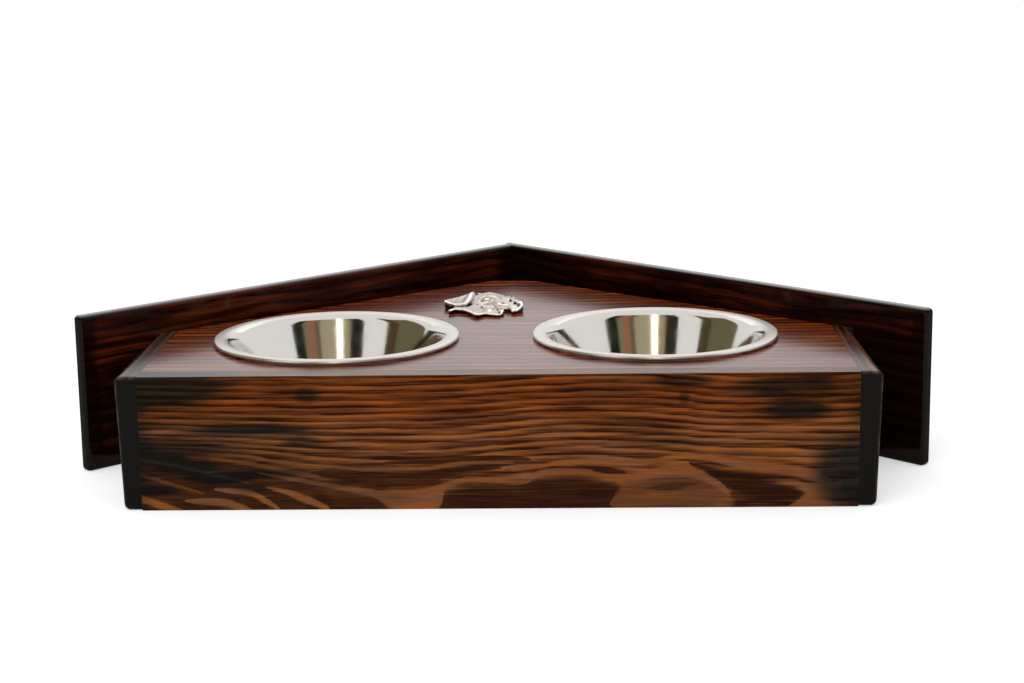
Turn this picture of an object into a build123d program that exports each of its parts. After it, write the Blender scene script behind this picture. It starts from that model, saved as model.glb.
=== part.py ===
from build123d import *
import math
import os

# A low two-bowl dog feeder for the corner of a room. A box of softwood boards carries a top panel with
# two drop-in steel bowls, and two thin boards behind it keep splashes off the room's walls. Those two
# boards meet at a right angle, so in plan the feeder is a box with a pointed back.
# Frame: millimetres, +X to the right, +Y to the room's corner, +Z up. The origin is on the floor, in the
# middle of the whole feeder's width and depth.

# ---- driving dimensions ----
body_height = 84.0
side_board_t = 14.0
front_board_t = 15.0
top_t = 15.0
wall_board_t = 9.0
wall_rise = 20.2            # how far the wall boards stand above the top
wall_overhang = 56.0        # how far each wall board runs on past its side board, measured along it
top_edge_angle = 40.8       # the top's rear edges, degrees from the front: a little flatter than the walls
top_nose_cut = 14.0         # depth cut off the pointed back of the top
top_nose_radius = 12.0

# ---- bowls ----
bowl_opening_radius = 69.5
bowl_flange_width = 10.5    # from the opening to the outside of the rim
bowl_wall_lean = 17.5       # how much narrower the floor is than the opening, at the radius
bowl_depth = 50.0
bowl_floor_corner = 16.0
bowl_bend_radius = 6.5
bowl_sheet = 0.8
bowl_bead_radius = 1.5
bowl_seat_gap = 0.3
bowl_hole_clearance = 3.5   # from the bowl's opening to the edge of its cut-out
bowl_spacing = 208.0
bowl_pair_offset = -4.0     # the pair sits a little left of the middle
bowl_step = 5.0             # the right bowl stands this much further back than the left
bowl_front_gap = 29.5       # rims to the front face, taken midway between the two
bowl_side_gap = 48.5        # rims to the sides, taken with the pair centred
bowl_rear_gap = 24.3        # rims to the wall boards, taken the same way

# ---- battens and posts ----
cleat_width = 20.0
cleat_height = 20.0
rear_cleat_width = 24.0
front_post_size = 20.0
wall_post_size = 34.0

# ---- fasteners ----
screw_radius = 1.75
screw_head_radius = 3.5
screw_head_height = 2.0
screw_tip = 4.0
screw_fit = 0.05
batten_screw_bite = 10.0    # how deep a screw that crosses a batten enters the board behind it
wall_screw_length = 25.0
end_screw_length = 17.0
front_top_screws = 4        # along the front batten, up into the top
front_board_screws = 3      # along the front batten, into the front board
side_top_share = 0.5        # places along a batten, from its front or corner end, as shares of its length
side_board_shares = (0.2, 0.8)
rear_top_shares = (0.62, 0.86)
rear_wall_shares = (0.1, 0.5, 0.74)
rear_top_inset = 14.4       # of the screws up into the top, from the wall board
post_side_share = 0.25      # heights on the posts, as shares of their height
post_front_share = 0.55
post_wall_shares = {-1: (0.22, 0.62), 1: (0.38, 0.78)}
end_shares = (0.25, 0.75)   # heights of the screws and dowels in the side boards' ends
dowel_radius = 3.0
dowel_side_depth = 8.0
dowel_front_depth = 16.0
dowel_fit = 0.05

# ---- ornament ----
ornament_eye_x = -13.5      # place of the dog's eye, from the middle and from the front face
ornament_eye_y = 206.0
ornament_plate_t = 3.0
ornament_cheek_height = 6.0
ornament_ear_height = 8.5
ornament_brow_height = 10.5
ornament_taper = 25.0
ornament_brow = (1.0, 6.0)  # middle of the brow's bulge, from the eye
ornament_brow_half = (12.0, 9.0)
ornament_pins = ((-14.0, 4.0), (14.0, -3.0))
ornament_pin_radius = 1.5
ornament_pin_in_plate = 2.1
ornament_pin_in_top = 6.9
ornament_pin_fit = 0.05

# ---- easing of the edges ----
side_ease = 4.0
side_lean = 2.5             # the sides are planed a little thinner towards the floor
side_rear_round = {-1: 6.0, 1: 9.0}     # the sides' upper edge is sanded rounder towards the back
side_rear_corner = 12.0
front_ease = 1.0
top_ease = 1.5
wall_ease = 3.0

# ---- derived sizes ----
bowl_rim_radius = bowl_opening_radius + bowl_flange_width
bowl_floor_radius = bowl_opening_radius - bowl_wall_lean
half_width = bowl_spacing / 2 + bowl_rim_radius + bowl_side_gap
inner_half_width = half_width - side_board_t
bowl_mid_depth = bowl_front_gap + bowl_rim_radius
corner_depth = bowl_mid_depth + bowl_spacing / 2 + math.sqrt(2) * (bowl_rim_radius + bowl_rear_gap)
overall_depth = corner_depth + math.sqrt(2) * wall_board_t
front_y = -overall_depth / 2
corner_y = front_y + corner_depth
front_inner_y = front_y + front_board_t
top_underside = body_height - top_t
cleat_bottom = top_underside - cleat_height
wall_height = body_height + wall_rise
wall_reach = math.sqrt(2) * half_width + wall_overhang
bowl_hole_radius = bowl_opening_radius + bowl_hole_clearance
rim_top = body_height + bowl_seat_gap + 2 * bowl_bead_radius
bowl_centres = {
    "left": (bowl_pair_offset - bowl_spacing / 2, front_y + bowl_mid_depth - bowl_step / 2),
    "right": (bowl_pair_offset + bowl_spacing / 2, front_y + bowl_mid_depth + bowl_step / 2),
}
SIDES = {"left": -1, "right": 1}


# ---- helpers ----
def prism(points, low, high):
    """A closed outline in plan, drawn up from one height to another."""
    outline = Polyline(*points, close=True)
    return extrude(Plane.XY.offset(low) * make_face(outline), high - low)


def cylinder_between(start, end, radius):
    """A round rod from one point to another."""
    axis = Vector(*end) - Vector(*start)
    plane = Plane(origin=start, z_dir=axis.normalized())
    return extrude(plane * Circle(radius), axis.length)


def wall_face_y(x):
    """Where the wall boards' front faces are, at a distance from the middle."""
    return corner_y - abs(x)


def along_wall(sign, run, inward):
    """A point in plan by its run along a wall board from the corner, and its distance in front of it."""
    step = 1 / math.sqrt(2)
    x = run * step - inward * step
    y = corner_y - run * step - inward * step
    return sign * x, y


def screw(head, direction, length, spare=0.0):
    """A countersunk wood screw with its head flush at a point. Spare makes the cutter for its hole."""
    plane = Plane(origin=head, z_dir=direction)
    head_radius = screw_head_radius + spare
    shank = screw_radius + spare
    profile = Polyline(
        (0, 0),
        (head_radius, 0),
        (shank, screw_head_height),
        (shank, length - screw_tip),
        (0, length),
        close=True,
    )
    return plane * revolve(Plane.XZ * make_face(profile), Axis.Z)


def drill(solid, screws):
    """The solid with a hole for each screw in the list."""
    for place in screws:
        solid -= screw(*place, spare=screw_fit)
    return solid


def ease(solid, edges, radius):
    """The solid with the given edges rounded."""
    return fillet(edges, radius) if len(edges) else solid


def edges_where(solid, test):
    """The edges whose middle point passes a test."""
    return ShapeList(edge for edge in solid.edges() if test(edge @ 0.5))


def near(value, target):
    return abs(value - target) < 0.01


# ---- where the fasteners go: head, direction and length of each screw ----
def front_batten_x(count):
    """Places spread evenly along the front batten."""
    span = 2 * (inner_half_width - front_post_size)
    return [span * (index + 0.5) / count - span / 2 for index in range(count)]


def side_batten_y(share):
    """A place along the side batten, as a share of its shorter edge."""
    start = front_inner_y + front_post_size
    end = wall_face_y(inner_half_width)
    return start + share * (end - start)


def rear_batten_run(share):
    """A place along the rear batten, measured from the corner along the wall board."""
    start = wall_post_size
    end = math.sqrt(2) * (inner_half_width - cleat_width)
    return start + share * (end - start)


def top_screw_places():
    """Upright screws through the battens into the top."""
    length = cleat_height + batten_screw_bite
    plan = [(x, front_inner_y + cleat_width / 2) for x in front_batten_x(front_top_screws)]
    for sign in SIDES.values():
        plan.append((sign * (inner_half_width - cleat_width / 2), side_batten_y(side_top_share)))
        for share in rear_top_shares:
            plan.append(along_wall(sign, rear_batten_run(share), rear_top_inset))
    return [((x, y, cleat_bottom), (0, 0, 1), length) for x, y in plan]


def batten_screw_places():
    """Level screws through the battens and front posts into the front and side boards."""
    batten_z = cleat_bottom + cleat_height / 2
    batten_length = cleat_width + batten_screw_bite
    post_length = front_post_size + batten_screw_bite
    places = []
    for x in front_batten_x(front_board_screws):
        places.append(((x, front_inner_y + cleat_width, batten_z), (0, -1, 0), batten_length))
    for sign in SIDES.values():
        batten_x = sign * (inner_half_width - cleat_width)
        post_x = sign * (inner_half_width - front_post_size)
        post_y = front_inner_y + front_post_size
        for share in side_board_shares:
            places.append(((batten_x, side_batten_y(share), batten_z), (sign, 0, 0), batten_length))
        side_going = (post_x, post_y - front_post_size / 2, top_underside * post_side_share)
        front_going = (post_x + sign * front_post_size / 2, post_y, top_underside * post_front_share)
        places.append((side_going, (sign, 0, 0), post_length))
        places.append((front_going, (0, -1, 0), post_length))
    return places


def wall_screw_places():
    """Screws from behind, through the wall boards into battens, corner post and side boards."""
    batten_z = cleat_bottom + cleat_height / 2
    side_run = math.sqrt(2) * (half_width - side_board_t / 2)
    places = []
    for sign in SIDES.values():
        inwards = (-sign / math.sqrt(2), -1 / math.sqrt(2), 0)
        for share in rear_wall_shares:
            x, y = along_wall(sign, rear_batten_run(share), -wall_board_t)
            places.append(((x, y, batten_z), inwards, wall_screw_length))
        for share in post_wall_shares[sign]:
            x, y = along_wall(sign, wall_post_size / 2, -wall_board_t)
            places.append(((x, y, top_underside * share), inwards, wall_screw_length))
        for share in end_shares:
            x, y = along_wall(sign, side_run, -wall_board_t)
            places.append(((x, y, body_height * share), inwards, end_screw_length))
    return places


def dowel_places():
    """Start and end of each dowel between the front board and the side boards."""
    y = front_y + front_board_t / 2
    places = []
    for sign in SIDES.values():
        inner = sign * (inner_half_width - dowel_front_depth)
        outer = sign * (inner_half_width + dowel_side_depth)
        for share in end_shares:
            places.append(((inner, y, body_height * share), (outer, y, body_height * share)))
    return places


def pin_places():
    """Start and end of each pin between the ornament and the top."""
    low = body_height - ornament_pin_in_top
    high = body_height + ornament_pin_in_plate
    places = []
    for from_eye_x, from_eye_y in ornament_pins:
        x = ornament_eye_x + from_eye_x
        y = front_y + ornament_eye_y + from_eye_y
        places.append(((x, y, low), (x, y, high)))
    return places


def bore(solid, places, radius):
    """The solid with a round hole for each dowel or pin in the list."""
    for start, end in places:
        solid -= cylinder_between(start, end, radius)
    return solid


# ---- boards of the box ----
def front_board():
    board = prism(
        [
            (-inner_half_width, front_y),
            (inner_half_width, front_y),
            (inner_half_width, front_inner_y),
            (-inner_half_width, front_inner_y),
        ],
        0,
        body_height,
    )
    long_front_edges = edges_where(board, lambda p: near(p.Y, front_y) and near(p.X, 0))
    board = ease(board, long_front_edges, front_ease)
    board = bore(board, dowel_places(), dowel_radius + dowel_fit)
    return drill(board, batten_screw_places())


def sanded_shoulder(sign):
    """What is sanded off a side's outer upper edge: a rounding that grows from the front to the back."""
    sections = []
    for y, radius in ((front_y, side_ease), (wall_face_y(half_width), side_rear_round[sign])):
        inner = sign * (half_width - radius)
        lower = body_height - radius
        middle = (inner + sign * radius / math.sqrt(2), lower + radius / math.sqrt(2))
        top = Line((inner, body_height), (sign * half_width, body_height))
        side = Line((sign * half_width, body_height), (sign * half_width, lower))
        arc = ThreePointArc((sign * half_width, lower), middle, (inner, body_height))
        upright = Plane(origin=(0, y, 0), x_dir=(1, 0, 0), z_dir=(0, -1, 0))
        sections.append(upright * make_face([top, side, arc]))
    return loft(sections, ruled=True)


def planed_wedge(sign):
    """What is planed off a side's outer face: nothing at its upper edge, most at the floor."""
    outer = sign * half_width
    corners = [(outer, body_height), (outer, 0), (outer - sign * side_lean, 0)]
    upright = Plane(origin=(0, front_y, 0), x_dir=(1, 0, 0), z_dir=(0, -1, 0))
    return extrude(upright * make_face(Polyline(*corners, close=True)), -overall_depth)


def side_board(sign):
    """A side board, its rear end cut at 45 degrees to lie on the wall board."""
    board = prism(
        [
            (sign * half_width, front_y),
            (sign * inner_half_width, front_y),
            (sign * inner_half_width, wall_face_y(inner_half_width)),
            (sign * half_width, wall_face_y(half_width)),
        ],
        0,
        body_height,
    )
    board -= planed_wedge(sign)
    middle_x = half_width - side_lean / 2

    def outer_edge(p):
        on_side = near(abs(p.X), half_width - side_lean) and near(p.Z, 0)
        on_front = near(p.Y, front_y) and abs(p.X) > inner_half_width + side_ease
        return on_side or on_front

    rear_corner = edges_where(board, lambda p: near(abs(p.X), middle_x) and p.Y > front_y + side_ease)
    board = ease(board, rear_corner, side_rear_corner)
    board = ease(board, edges_where(board, outer_edge), side_ease)
    board -= sanded_shoulder(sign)
    board = bore(board, dowel_places(), dowel_radius + dowel_fit)
    return drill(board, batten_screw_places() + wall_screw_places())


def top_panel():
    """The top: its straight front and sides meet the boards, its rear edges leave a slim wedge of air."""
    slope = math.tan(math.radians(top_edge_angle))
    corner = wall_face_y(inner_half_width)
    nose_y = corner + inner_half_width * slope - top_nose_cut
    nose_half = top_nose_cut / slope
    panel = prism(
        [
            (-inner_half_width, front_inner_y),
            (inner_half_width, front_inner_y),
            (inner_half_width, corner),
            (nose_half, nose_y),
            (-nose_half, nose_y),
            (-inner_half_width, corner),
        ],
        top_underside,
        body_height,
    )
    nose_edges = edges_where(panel, lambda p: near(abs(p.X), nose_half) and near(p.Y, nose_y))
    panel = ease(panel, nose_edges, top_nose_radius)
    rear_top_edges = edges_where(panel, lambda p: near(p.Z, body_height) and p.Y > corner)
    panel = ease(panel, rear_top_edges, top_ease)
    for x, y in bowl_centres.values():
        panel -= Pos(x, y, top_underside + top_t / 2) * Cylinder(bowl_hole_radius, top_t)
    panel = bore(panel, pin_places(), ornament_pin_radius + ornament_pin_fit)
    return drill(panel, top_screw_places())


# ---- wall boards ----
def wall_board(sign):
    """A splash board. The right one runs past the corner, and the left one butts against it."""
    start = -wall_board_t if sign > 0 else 0
    board = prism(
        [
            along_wall(sign, start, 0),
            along_wall(sign, wall_reach, 0),
            along_wall(sign, wall_reach, -wall_board_t),
            along_wall(sign, start, -wall_board_t),
        ],
        0,
        wall_height,
    )
    corner_reach = wall_reach / math.sqrt(2) - wall_board_t

    corner_end = along_wall(sign, start, -wall_board_t / 2)

    def loose_edge(p):
        if near(p.X, corner_end[0]) and near(p.Y, corner_end[1]):
            return False
        upright_at_the_end = abs(p.X) > corner_reach and near(p.Z, wall_height / 2)
        return near(p.Z, wall_height) or near(p.Z, 0) or upright_at_the_end

    board = ease(board, edges_where(board, loose_edge), wall_ease)
    return drill(board, wall_screw_places())


# ---- battens and posts ----
def front_cleat():
    end_x = inner_half_width - front_post_size
    rear = front_inner_y + cleat_width
    batten = prism(
        [(-end_x, front_inner_y), (end_x, front_inner_y), (end_x, rear), (-end_x, rear)],
        cleat_bottom,
        top_underside,
    )
    return drill(batten, top_screw_places() + batten_screw_places())


def side_cleat(sign):
    """A side batten from the front post to the wall board, its end cut at 45 degrees."""
    inner_x = inner_half_width - cleat_width
    start = front_inner_y + front_post_size
    batten = prism(
        [
            (sign * inner_half_width, start),
            (sign * inner_x, start),
            (sign * inner_x, wall_face_y(inner_x)),
            (sign * inner_half_width, wall_face_y(inner_half_width)),
        ],
        cleat_bottom,
        top_underside,
    )
    return drill(batten, top_screw_places() + batten_screw_places())


def rear_cleat(sign):
    """A rear batten along the wall board, from the side batten to the corner post."""
    side_x = inner_half_width - cleat_width
    batten = prism(
        [
            (sign * side_x, wall_face_y(side_x)),
            along_wall(sign, wall_post_size, 0),
            along_wall(sign, wall_post_size, rear_cleat_width),
            (sign * side_x, wall_face_y(side_x) - math.sqrt(2) * rear_cleat_width),
        ],
        cleat_bottom,
        top_underside,
    )
    return drill(batten, top_screw_places() + wall_screw_places())


def corner_post(sign):
    """A glue post in the front corner, as high as the underside of the top."""
    inner = sign * (inner_half_width - front_post_size)
    outer = sign * inner_half_width
    front = front_inner_y
    rear = front + front_post_size
    post = prism([(outer, front), (inner, front), (inner, rear), (outer, rear)], 0, top_underside)
    return drill(post, batten_screw_places())


def wall_corner_post():
    """The square post that joins the two wall boards."""
    post = prism(
        [
            along_wall(1, 0, 0),
            along_wall(1, wall_post_size, 0),
            along_wall(1, wall_post_size, wall_post_size),
            along_wall(-1, wall_post_size, 0),
        ],
        0,
        top_underside,
    )
    return drill(post, wall_screw_places())


# ---- bowls ----
def bowl(side):
    """A spun steel bowl: flat flange, solid rolled bead at its rim, tapered wall and flat floor."""
    floor_z = rim_top - bowl_depth
    turn = math.atan2(bowl_depth, bowl_opening_radius - bowl_floor_radius)
    shift = bowl_sheet * math.tan(turn / 2)
    bead_x = bowl_rim_radius - bowl_bead_radius
    bead_z = rim_top - bowl_bead_radius
    under_z = rim_top - bowl_sheet
    bead_meets_flange = bead_x - math.sqrt(bowl_bead_radius**2 - (under_z - bead_z) ** 2)
    inside = FilletPolyline(
        (0, floor_z),
        (bowl_floor_radius, floor_z),
        (bowl_opening_radius, rim_top),
        (bead_x, rim_top),
        radius=[bowl_floor_corner, bowl_bend_radius + bowl_sheet],
    )
    bead_bottom = (bead_x, bead_z - bowl_bead_radius)
    bead = ThreePointArc((bead_x, rim_top), bead_bottom, (bead_meets_flange, under_z))
    outside = FilletPolyline(
        (bead_meets_flange, under_z),
        (bowl_opening_radius + shift, under_z),
        (bowl_floor_radius + shift, floor_z - bowl_sheet),
        (0, floor_z - bowl_sheet),
        radius=[bowl_bend_radius, bowl_floor_corner + bowl_sheet],
    )
    axis_line = Line((0, floor_z - bowl_sheet), (0, floor_z))
    section = Plane.XZ * make_face([inside, bead, outside, axis_line])
    x, y = bowl_centres[side]
    return Pos(x, y, 0) * revolve(section, Axis.Z)


# ---- ornament ----
head_outline = [
    (-31.5, 7), (-26.5, 13), (-20.5, 17), (-10.5, 24), (-4.5, 23), (1.5, 21), (13.5, 14), (18.5, 11),
    (22.5, 5), (25.5, -2), (26, -8), (24, -13), (21.5, -19), (17.5, -20.5),
    (16.5, -12), (6.5, -8), (6.5, -11.5), (13, -17),
    (11.5, -26), (9.5, -30.5), (-0.5, -26), (-4.5, -32), (-7.5, -31.5), (-11.5, -22),
    (-16.5, -15.5), (-21.5, -13.5), (-25.5, -19), (-23.5, -11), (-22, -5), (-25.5, -2),
]
# The outlines of the relief run anticlockwise, seen from above.
ear_outline = [(-24, -1), (-17.5, -5), (-11, 1), (-4.5, 17), (-10.5, 22), (-20, 15), (-30, 6.5)]
muzzle_outline = [(5, -6), (16, -9), (22, -11), (23.5, 0), (20, 8), (14, 12), (6, 12)]
cheek_outline = [(-17, 4), (-17, -12), (-10, -19), (-5, -27), (6, -24), (5, -7), (12, 8), (4, 18), (-8, 16)]


def dog_head_ornament():
    """A cast dog's head in relief, seen from the side: plate, cheek, muzzle, folded ear and brow."""
    place = Pos(ornament_eye_x, front_y + ornament_eye_y, body_height)
    head = prism(head_outline, 0, ornament_plate_t)
    reliefs = (
        (cheek_outline, ornament_cheek_height),
        (muzzle_outline, ornament_cheek_height),
        (ear_outline, ornament_ear_height),
    )
    for outline, height in reliefs:
        relief = make_face(Polyline(*outline, close=True))
        head += extrude(relief, height, taper=ornament_taper)
    brow = Pos(*ornament_brow) * Ellipse(*ornament_brow_half)
    head += extrude(brow, ornament_brow_height, taper=ornament_taper)
    return bore(place * head, pin_places(), ornament_pin_radius + ornament_pin_fit)


# ---- groups of like fasteners ----
def group(solids):
    return Compound(children=list(solids))


def all_parts():
    parts = {
        "front_board": front_board(),
        "top_panel": top_panel(),
        "front_cleat": front_cleat(),
        "wall_corner_post": wall_corner_post(),
        "dog_head_ornament": dog_head_ornament(),
        "front_dowels": group(cylinder_between(*place, dowel_radius) for place in dowel_places()),
        "ornament_pins": group(cylinder_between(*place, ornament_pin_radius) for place in pin_places()),
        "top_panel_screws": group(screw(*place) for place in top_screw_places()),
        "cleat_screws": group(screw(*place) for place in batten_screw_places()),
        "wall_board_screws": group(screw(*place) for place in wall_screw_places()),
    }
    for side, sign in SIDES.items():
        parts[f"side_board_{side}"] = side_board(sign)
        parts[f"wall_board_{side}"] = wall_board(sign)
        parts[f"side_cleat_{side}"] = side_cleat(sign)
        parts[f"rear_cleat_{side}"] = rear_cleat(sign)
        parts[f"corner_post_{side}"] = corner_post(sign)
        parts[f"bowl_{side}"] = bowl(side)
    return parts


os.makedirs("parts", exist_ok=True)
for name, solid in all_parts().items():
    export_step(solid, f"parts/{name}.step")
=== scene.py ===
# %% [markdown]
# # A corner feeder for two bowls
#
# The real thing is a low box of softwood boards that stands in the corner of a room. Its boards were
# scorched with a flame, brushed and lacquered, so the hard, late part of each yearly ring stands out as
# a thin light line on a dark ground. Two spun steel bowls hang in the top by their flanges, two thin
# boards behind keep splashes off the walls, and a small cast dog's head sits between the bowls.
#
# The boards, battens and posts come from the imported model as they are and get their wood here. The
# bowls, the screws and the ornament are made again in Blender, because their looks live in details that
# a plain solid doesn't have: a polished inside against a satin flange, a cross recess, a sculpted
# relief.

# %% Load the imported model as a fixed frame
import bpy
import bmesh
import math
import numpy as np
from mathutils import Euler, Matrix, Vector
from mathutils.geometry import delaunay_2d_cdt


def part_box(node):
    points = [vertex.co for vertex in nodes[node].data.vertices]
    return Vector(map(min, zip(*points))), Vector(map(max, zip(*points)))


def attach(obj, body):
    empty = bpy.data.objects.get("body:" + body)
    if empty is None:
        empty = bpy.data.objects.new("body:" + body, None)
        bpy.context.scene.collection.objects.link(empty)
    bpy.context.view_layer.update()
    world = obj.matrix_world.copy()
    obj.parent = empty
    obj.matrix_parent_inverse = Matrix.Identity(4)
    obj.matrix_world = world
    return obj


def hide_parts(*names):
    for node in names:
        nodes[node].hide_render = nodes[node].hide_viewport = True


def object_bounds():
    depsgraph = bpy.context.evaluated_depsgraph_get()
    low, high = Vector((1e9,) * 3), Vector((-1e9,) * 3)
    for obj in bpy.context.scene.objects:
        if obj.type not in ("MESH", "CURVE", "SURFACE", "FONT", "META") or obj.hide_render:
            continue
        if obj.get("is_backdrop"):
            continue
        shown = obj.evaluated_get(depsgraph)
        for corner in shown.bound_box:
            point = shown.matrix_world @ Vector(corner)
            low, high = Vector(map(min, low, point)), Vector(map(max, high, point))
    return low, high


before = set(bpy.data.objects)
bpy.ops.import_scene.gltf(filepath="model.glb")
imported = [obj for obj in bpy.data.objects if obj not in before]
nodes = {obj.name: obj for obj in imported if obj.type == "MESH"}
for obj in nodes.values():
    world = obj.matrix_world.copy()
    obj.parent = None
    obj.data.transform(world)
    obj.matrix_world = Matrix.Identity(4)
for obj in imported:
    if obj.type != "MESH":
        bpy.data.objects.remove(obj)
cad_low, cad_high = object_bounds()
scene = bpy.context.scene
MM = 0.001
print("size in mm:", [round((b - a) / MM, 1) for a, b in zip(cad_low, cad_high)])

# %% [markdown]
# ## A few small helpers
#
# Every finish below is a tree of nodes, so a short way to add one node saves most of the typing.
# Colours are written as the hex values that a paint chart would give, and Blender's sockets want them
# linear. Node groups keep what several boards share, such as the growth rings, in one place.

# %% Colours, objects, nodes and node groups
def colour(code):
    """An sRGB hex value as the linear colour that a socket holds."""
    channels = [int(code[i:i + 2], 16) / 255 for i in (0, 2, 4)]
    linear = [c / 12.92 if c <= 0.04045 else ((c + 0.055) / 1.055) ** 2.4 for c in channels]
    return (*linear, 1.0)


def add_object(name, data):
    """An object at the origin that holds a mesh, a camera or a lamp."""
    item = bpy.data.objects.new(name, data)
    scene.collection.objects.link(item)
    return item


def new_mesh(name, verts, faces, material):
    """A mesh in one material, from its points and faces."""
    mesh = bpy.data.meshes.new(name)
    mesh.from_pydata(verts, [], faces)
    mesh.materials.append(material)
    return mesh


def socket_of(sockets, key):
    """A socket by its place, or the first one in use by its name."""
    if isinstance(key, int):
        return sockets[key]
    return next(socket for socket in sockets if socket.name == key and socket.enabled)


def plug(tree, socket, value):
    """Links a node or a socket to an input, or sets the input to any other value."""
    if isinstance(value, bpy.types.Node):
        value = next(output for output in value.outputs if output.enabled)
    if isinstance(value, bpy.types.NodeSocket):
        tree.links.new(value, socket)
    else:
        socket.default_value = value


def add_node(tree, kind, inputs=None, **settings):
    """Adds a node with its settings, and plugs its inputs."""
    node = tree.nodes.new(kind)
    for name, value in settings.items():
        setattr(node, name, value)
    for key, value in (inputs or {}).items():
        plug(tree, socket_of(node.inputs, key), value)
    return node


def new_group(name, kind, inputs, outputs):
    """An empty node group with named sockets. Each input is a name, a socket type and a start value."""
    tree = bpy.data.node_groups.new(name, kind)
    for title, socket_type, value in inputs:
        socket = tree.interface.new_socket(title, in_out="INPUT", socket_type=socket_type)
        if value is not None:
            socket.default_value = value
    for title, socket_type in outputs:
        tree.interface.new_socket(title, in_out="OUTPUT", socket_type=socket_type)
    return tree, tree.nodes.new("NodeGroupInput").outputs


def new_material(name):
    """A material that holds only its output, and the tree to build it in."""
    material = bpy.data.materials.new(name)
    material.use_nodes = True
    material.node_tree.nodes.clear()
    return material, material.node_tree


print("helpers ready:", *(helper.__name__ for helper in (add_node, add_object, new_group)))

# %% [markdown]
# ## Camera
#
# The feeder is looked at from a little above and straight in front, through a longer lens from about a
# metre and a half, which keeps the two bowls nearly the same size. Depth of field stays off.

# %% Camera
LENS = 71.85                                        # mm, on a sensor 36 mm wide
CAMERA_PLACE = (0.0456185, -1.3848163, 0.358517)    # m
CAMERA_TURN = (78.02477, 0.81623, 1.54397)          # degrees round X, Y and Z

camera_data = bpy.data.cameras.new("camera")
camera_data.lens = LENS
camera_data.sensor_width = 36.0
camera_data.clip_start = 0.05
camera = add_object("camera", camera_data)
camera.location = CAMERA_PLACE
camera.rotation_euler = Euler([math.radians(angle) for angle in CAMERA_TURN])
scene.camera = camera
print("camera stands at", [round(value, 3) for value in camera.location])

# %% [markdown]
# ## Stage
#
# A plain white floor and a white surround. The world is pure white to the camera and to glossy rays, so
# the lacquer and the steel mirror a white room, while the light that it sheds on the object is a little
# lower. The floor glows slightly to the camera, so that it reads as white paper, and keeps the shadow.

# %% World, floor and lamp
WORLD_LIGHT = 0.72              # how strongly the white surround lights the object
FLOOR_GLOW = 0.42               # what the floor adds to its own brightness where it is seen
FLOOR_HALF = 6.0                # m
LAMP_PLACE, LAMP_AIM = Vector((-0.5, -1.3, 1.5)), Vector((0.0, 0.0, 0.05))
LAMP_SIZE, LAMP_POWER = 1.2, 9.0    # m, W


def is_seen(tree):
    """1 for the rays that show the white surround: to the camera, off a gloss or through glass."""
    rays = add_node(tree, "ShaderNodeLightPath").outputs
    seen = rays["Is Camera Ray"]
    for other in ("Is Glossy Ray", "Is Transmission Ray"):
        seen = add_node(tree, "ShaderNodeMath", {0: seen, 1: rays[other]}, operation="MAXIMUM")
    return seen


world = bpy.data.worlds.new("white studio")
world.use_nodes = True
scene.world = world
tree = world.node_tree
tree.nodes.clear()
strength = add_node(tree, "ShaderNodeMapRange", {
    "Value": is_seen(tree), "To Min": WORLD_LIGHT, "To Max": 1.0})
background = add_node(tree, "ShaderNodeBackground", {"Color": colour("ffffff"), "Strength": strength})
add_node(tree, "ShaderNodeOutputWorld", {"Surface": background})

paper, tree = new_material("white seamless paper")
matt = add_node(tree, "ShaderNodeBsdfDiffuse", {"Color": colour("f2f2f2")})
glow = add_node(tree, "ShaderNodeMapRange", {"Value": is_seen(tree), "To Min": 0.0, "To Max": FLOOR_GLOW})
light = add_node(tree, "ShaderNodeEmission", {"Color": colour("ffffff"), "Strength": glow})
both = add_node(tree, "ShaderNodeAddShader", {0: matt, 1: light})
add_node(tree, "ShaderNodeOutputMaterial", {"Surface": both})
corners = [(x * FLOOR_HALF, y * FLOOR_HALF, 0) for x, y in ((-1, -1), (1, -1), (1, 1), (-1, 1))]
add_object("floor", new_mesh("floor", corners, [(0, 1, 2, 3)], paper))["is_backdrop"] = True

# Metal doesn't mirror the lamp; it mirrors the surround and the cards.
lamp_data = bpy.data.lights.new("key light", "AREA")
lamp_data.size = LAMP_SIZE
lamp_data.energy = LAMP_POWER
lamp = add_object("key light", lamp_data)
lamp.location = LAMP_PLACE
lamp.rotation_euler = (LAMP_PLACE - LAMP_AIM).to_track_quat("Z", "Y").to_euler()
lamp.visible_glossy = False
print("floor, world and lamp ready")

# %% [markdown]
# A mirror shows the room. In an all-white room polished steel looks like white paint, so tall curved
# cards stand round the table. In front and at the sides they are dark or tan, with gaps between them
# that stay white and one narrow bright strip, and high behind stands a white one that lights the
# flanges and the crests of the casting. Only glossy rays see them, so they shed no light and cast no
# shadow.

# %% Cards for the steel to mirror
CARD_DISTANCE = 2.6         # m
CARD_FACE = 4               # degrees, about how wide each flat face of a card is
# From and to, in degrees to the right of straight ahead, lowest and highest angle above, colour, strength.
CARDS = [
    (46, 60, 6, 56, "182012", 1.0), (40, 46, 6, 56, "8a8068", 1.0), (31, 40, 6, 56, "a4705a", 1.0),
    (25, 31, 6, 56, "6e624e", 1.0), (5, 25, 6, 56, "b4a98e", 1.0), (-3.5, 4.5, 10, 62, "fff4e0", 2.6),
    (-13, -4, 6, 56, "ac9e7c", 1.0), (-29, -13, 6, 56, "241e17", 1.0), (-72, -58, 6, 56, "54452c", 1.0),
    (-112, -72, 6, 50, "746a52", 1.0), (92, 108, 4, 12, "3c3a2e", 1.0),
    (145, 215, 28, 50, "ffffff", 1.5),
]


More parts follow.
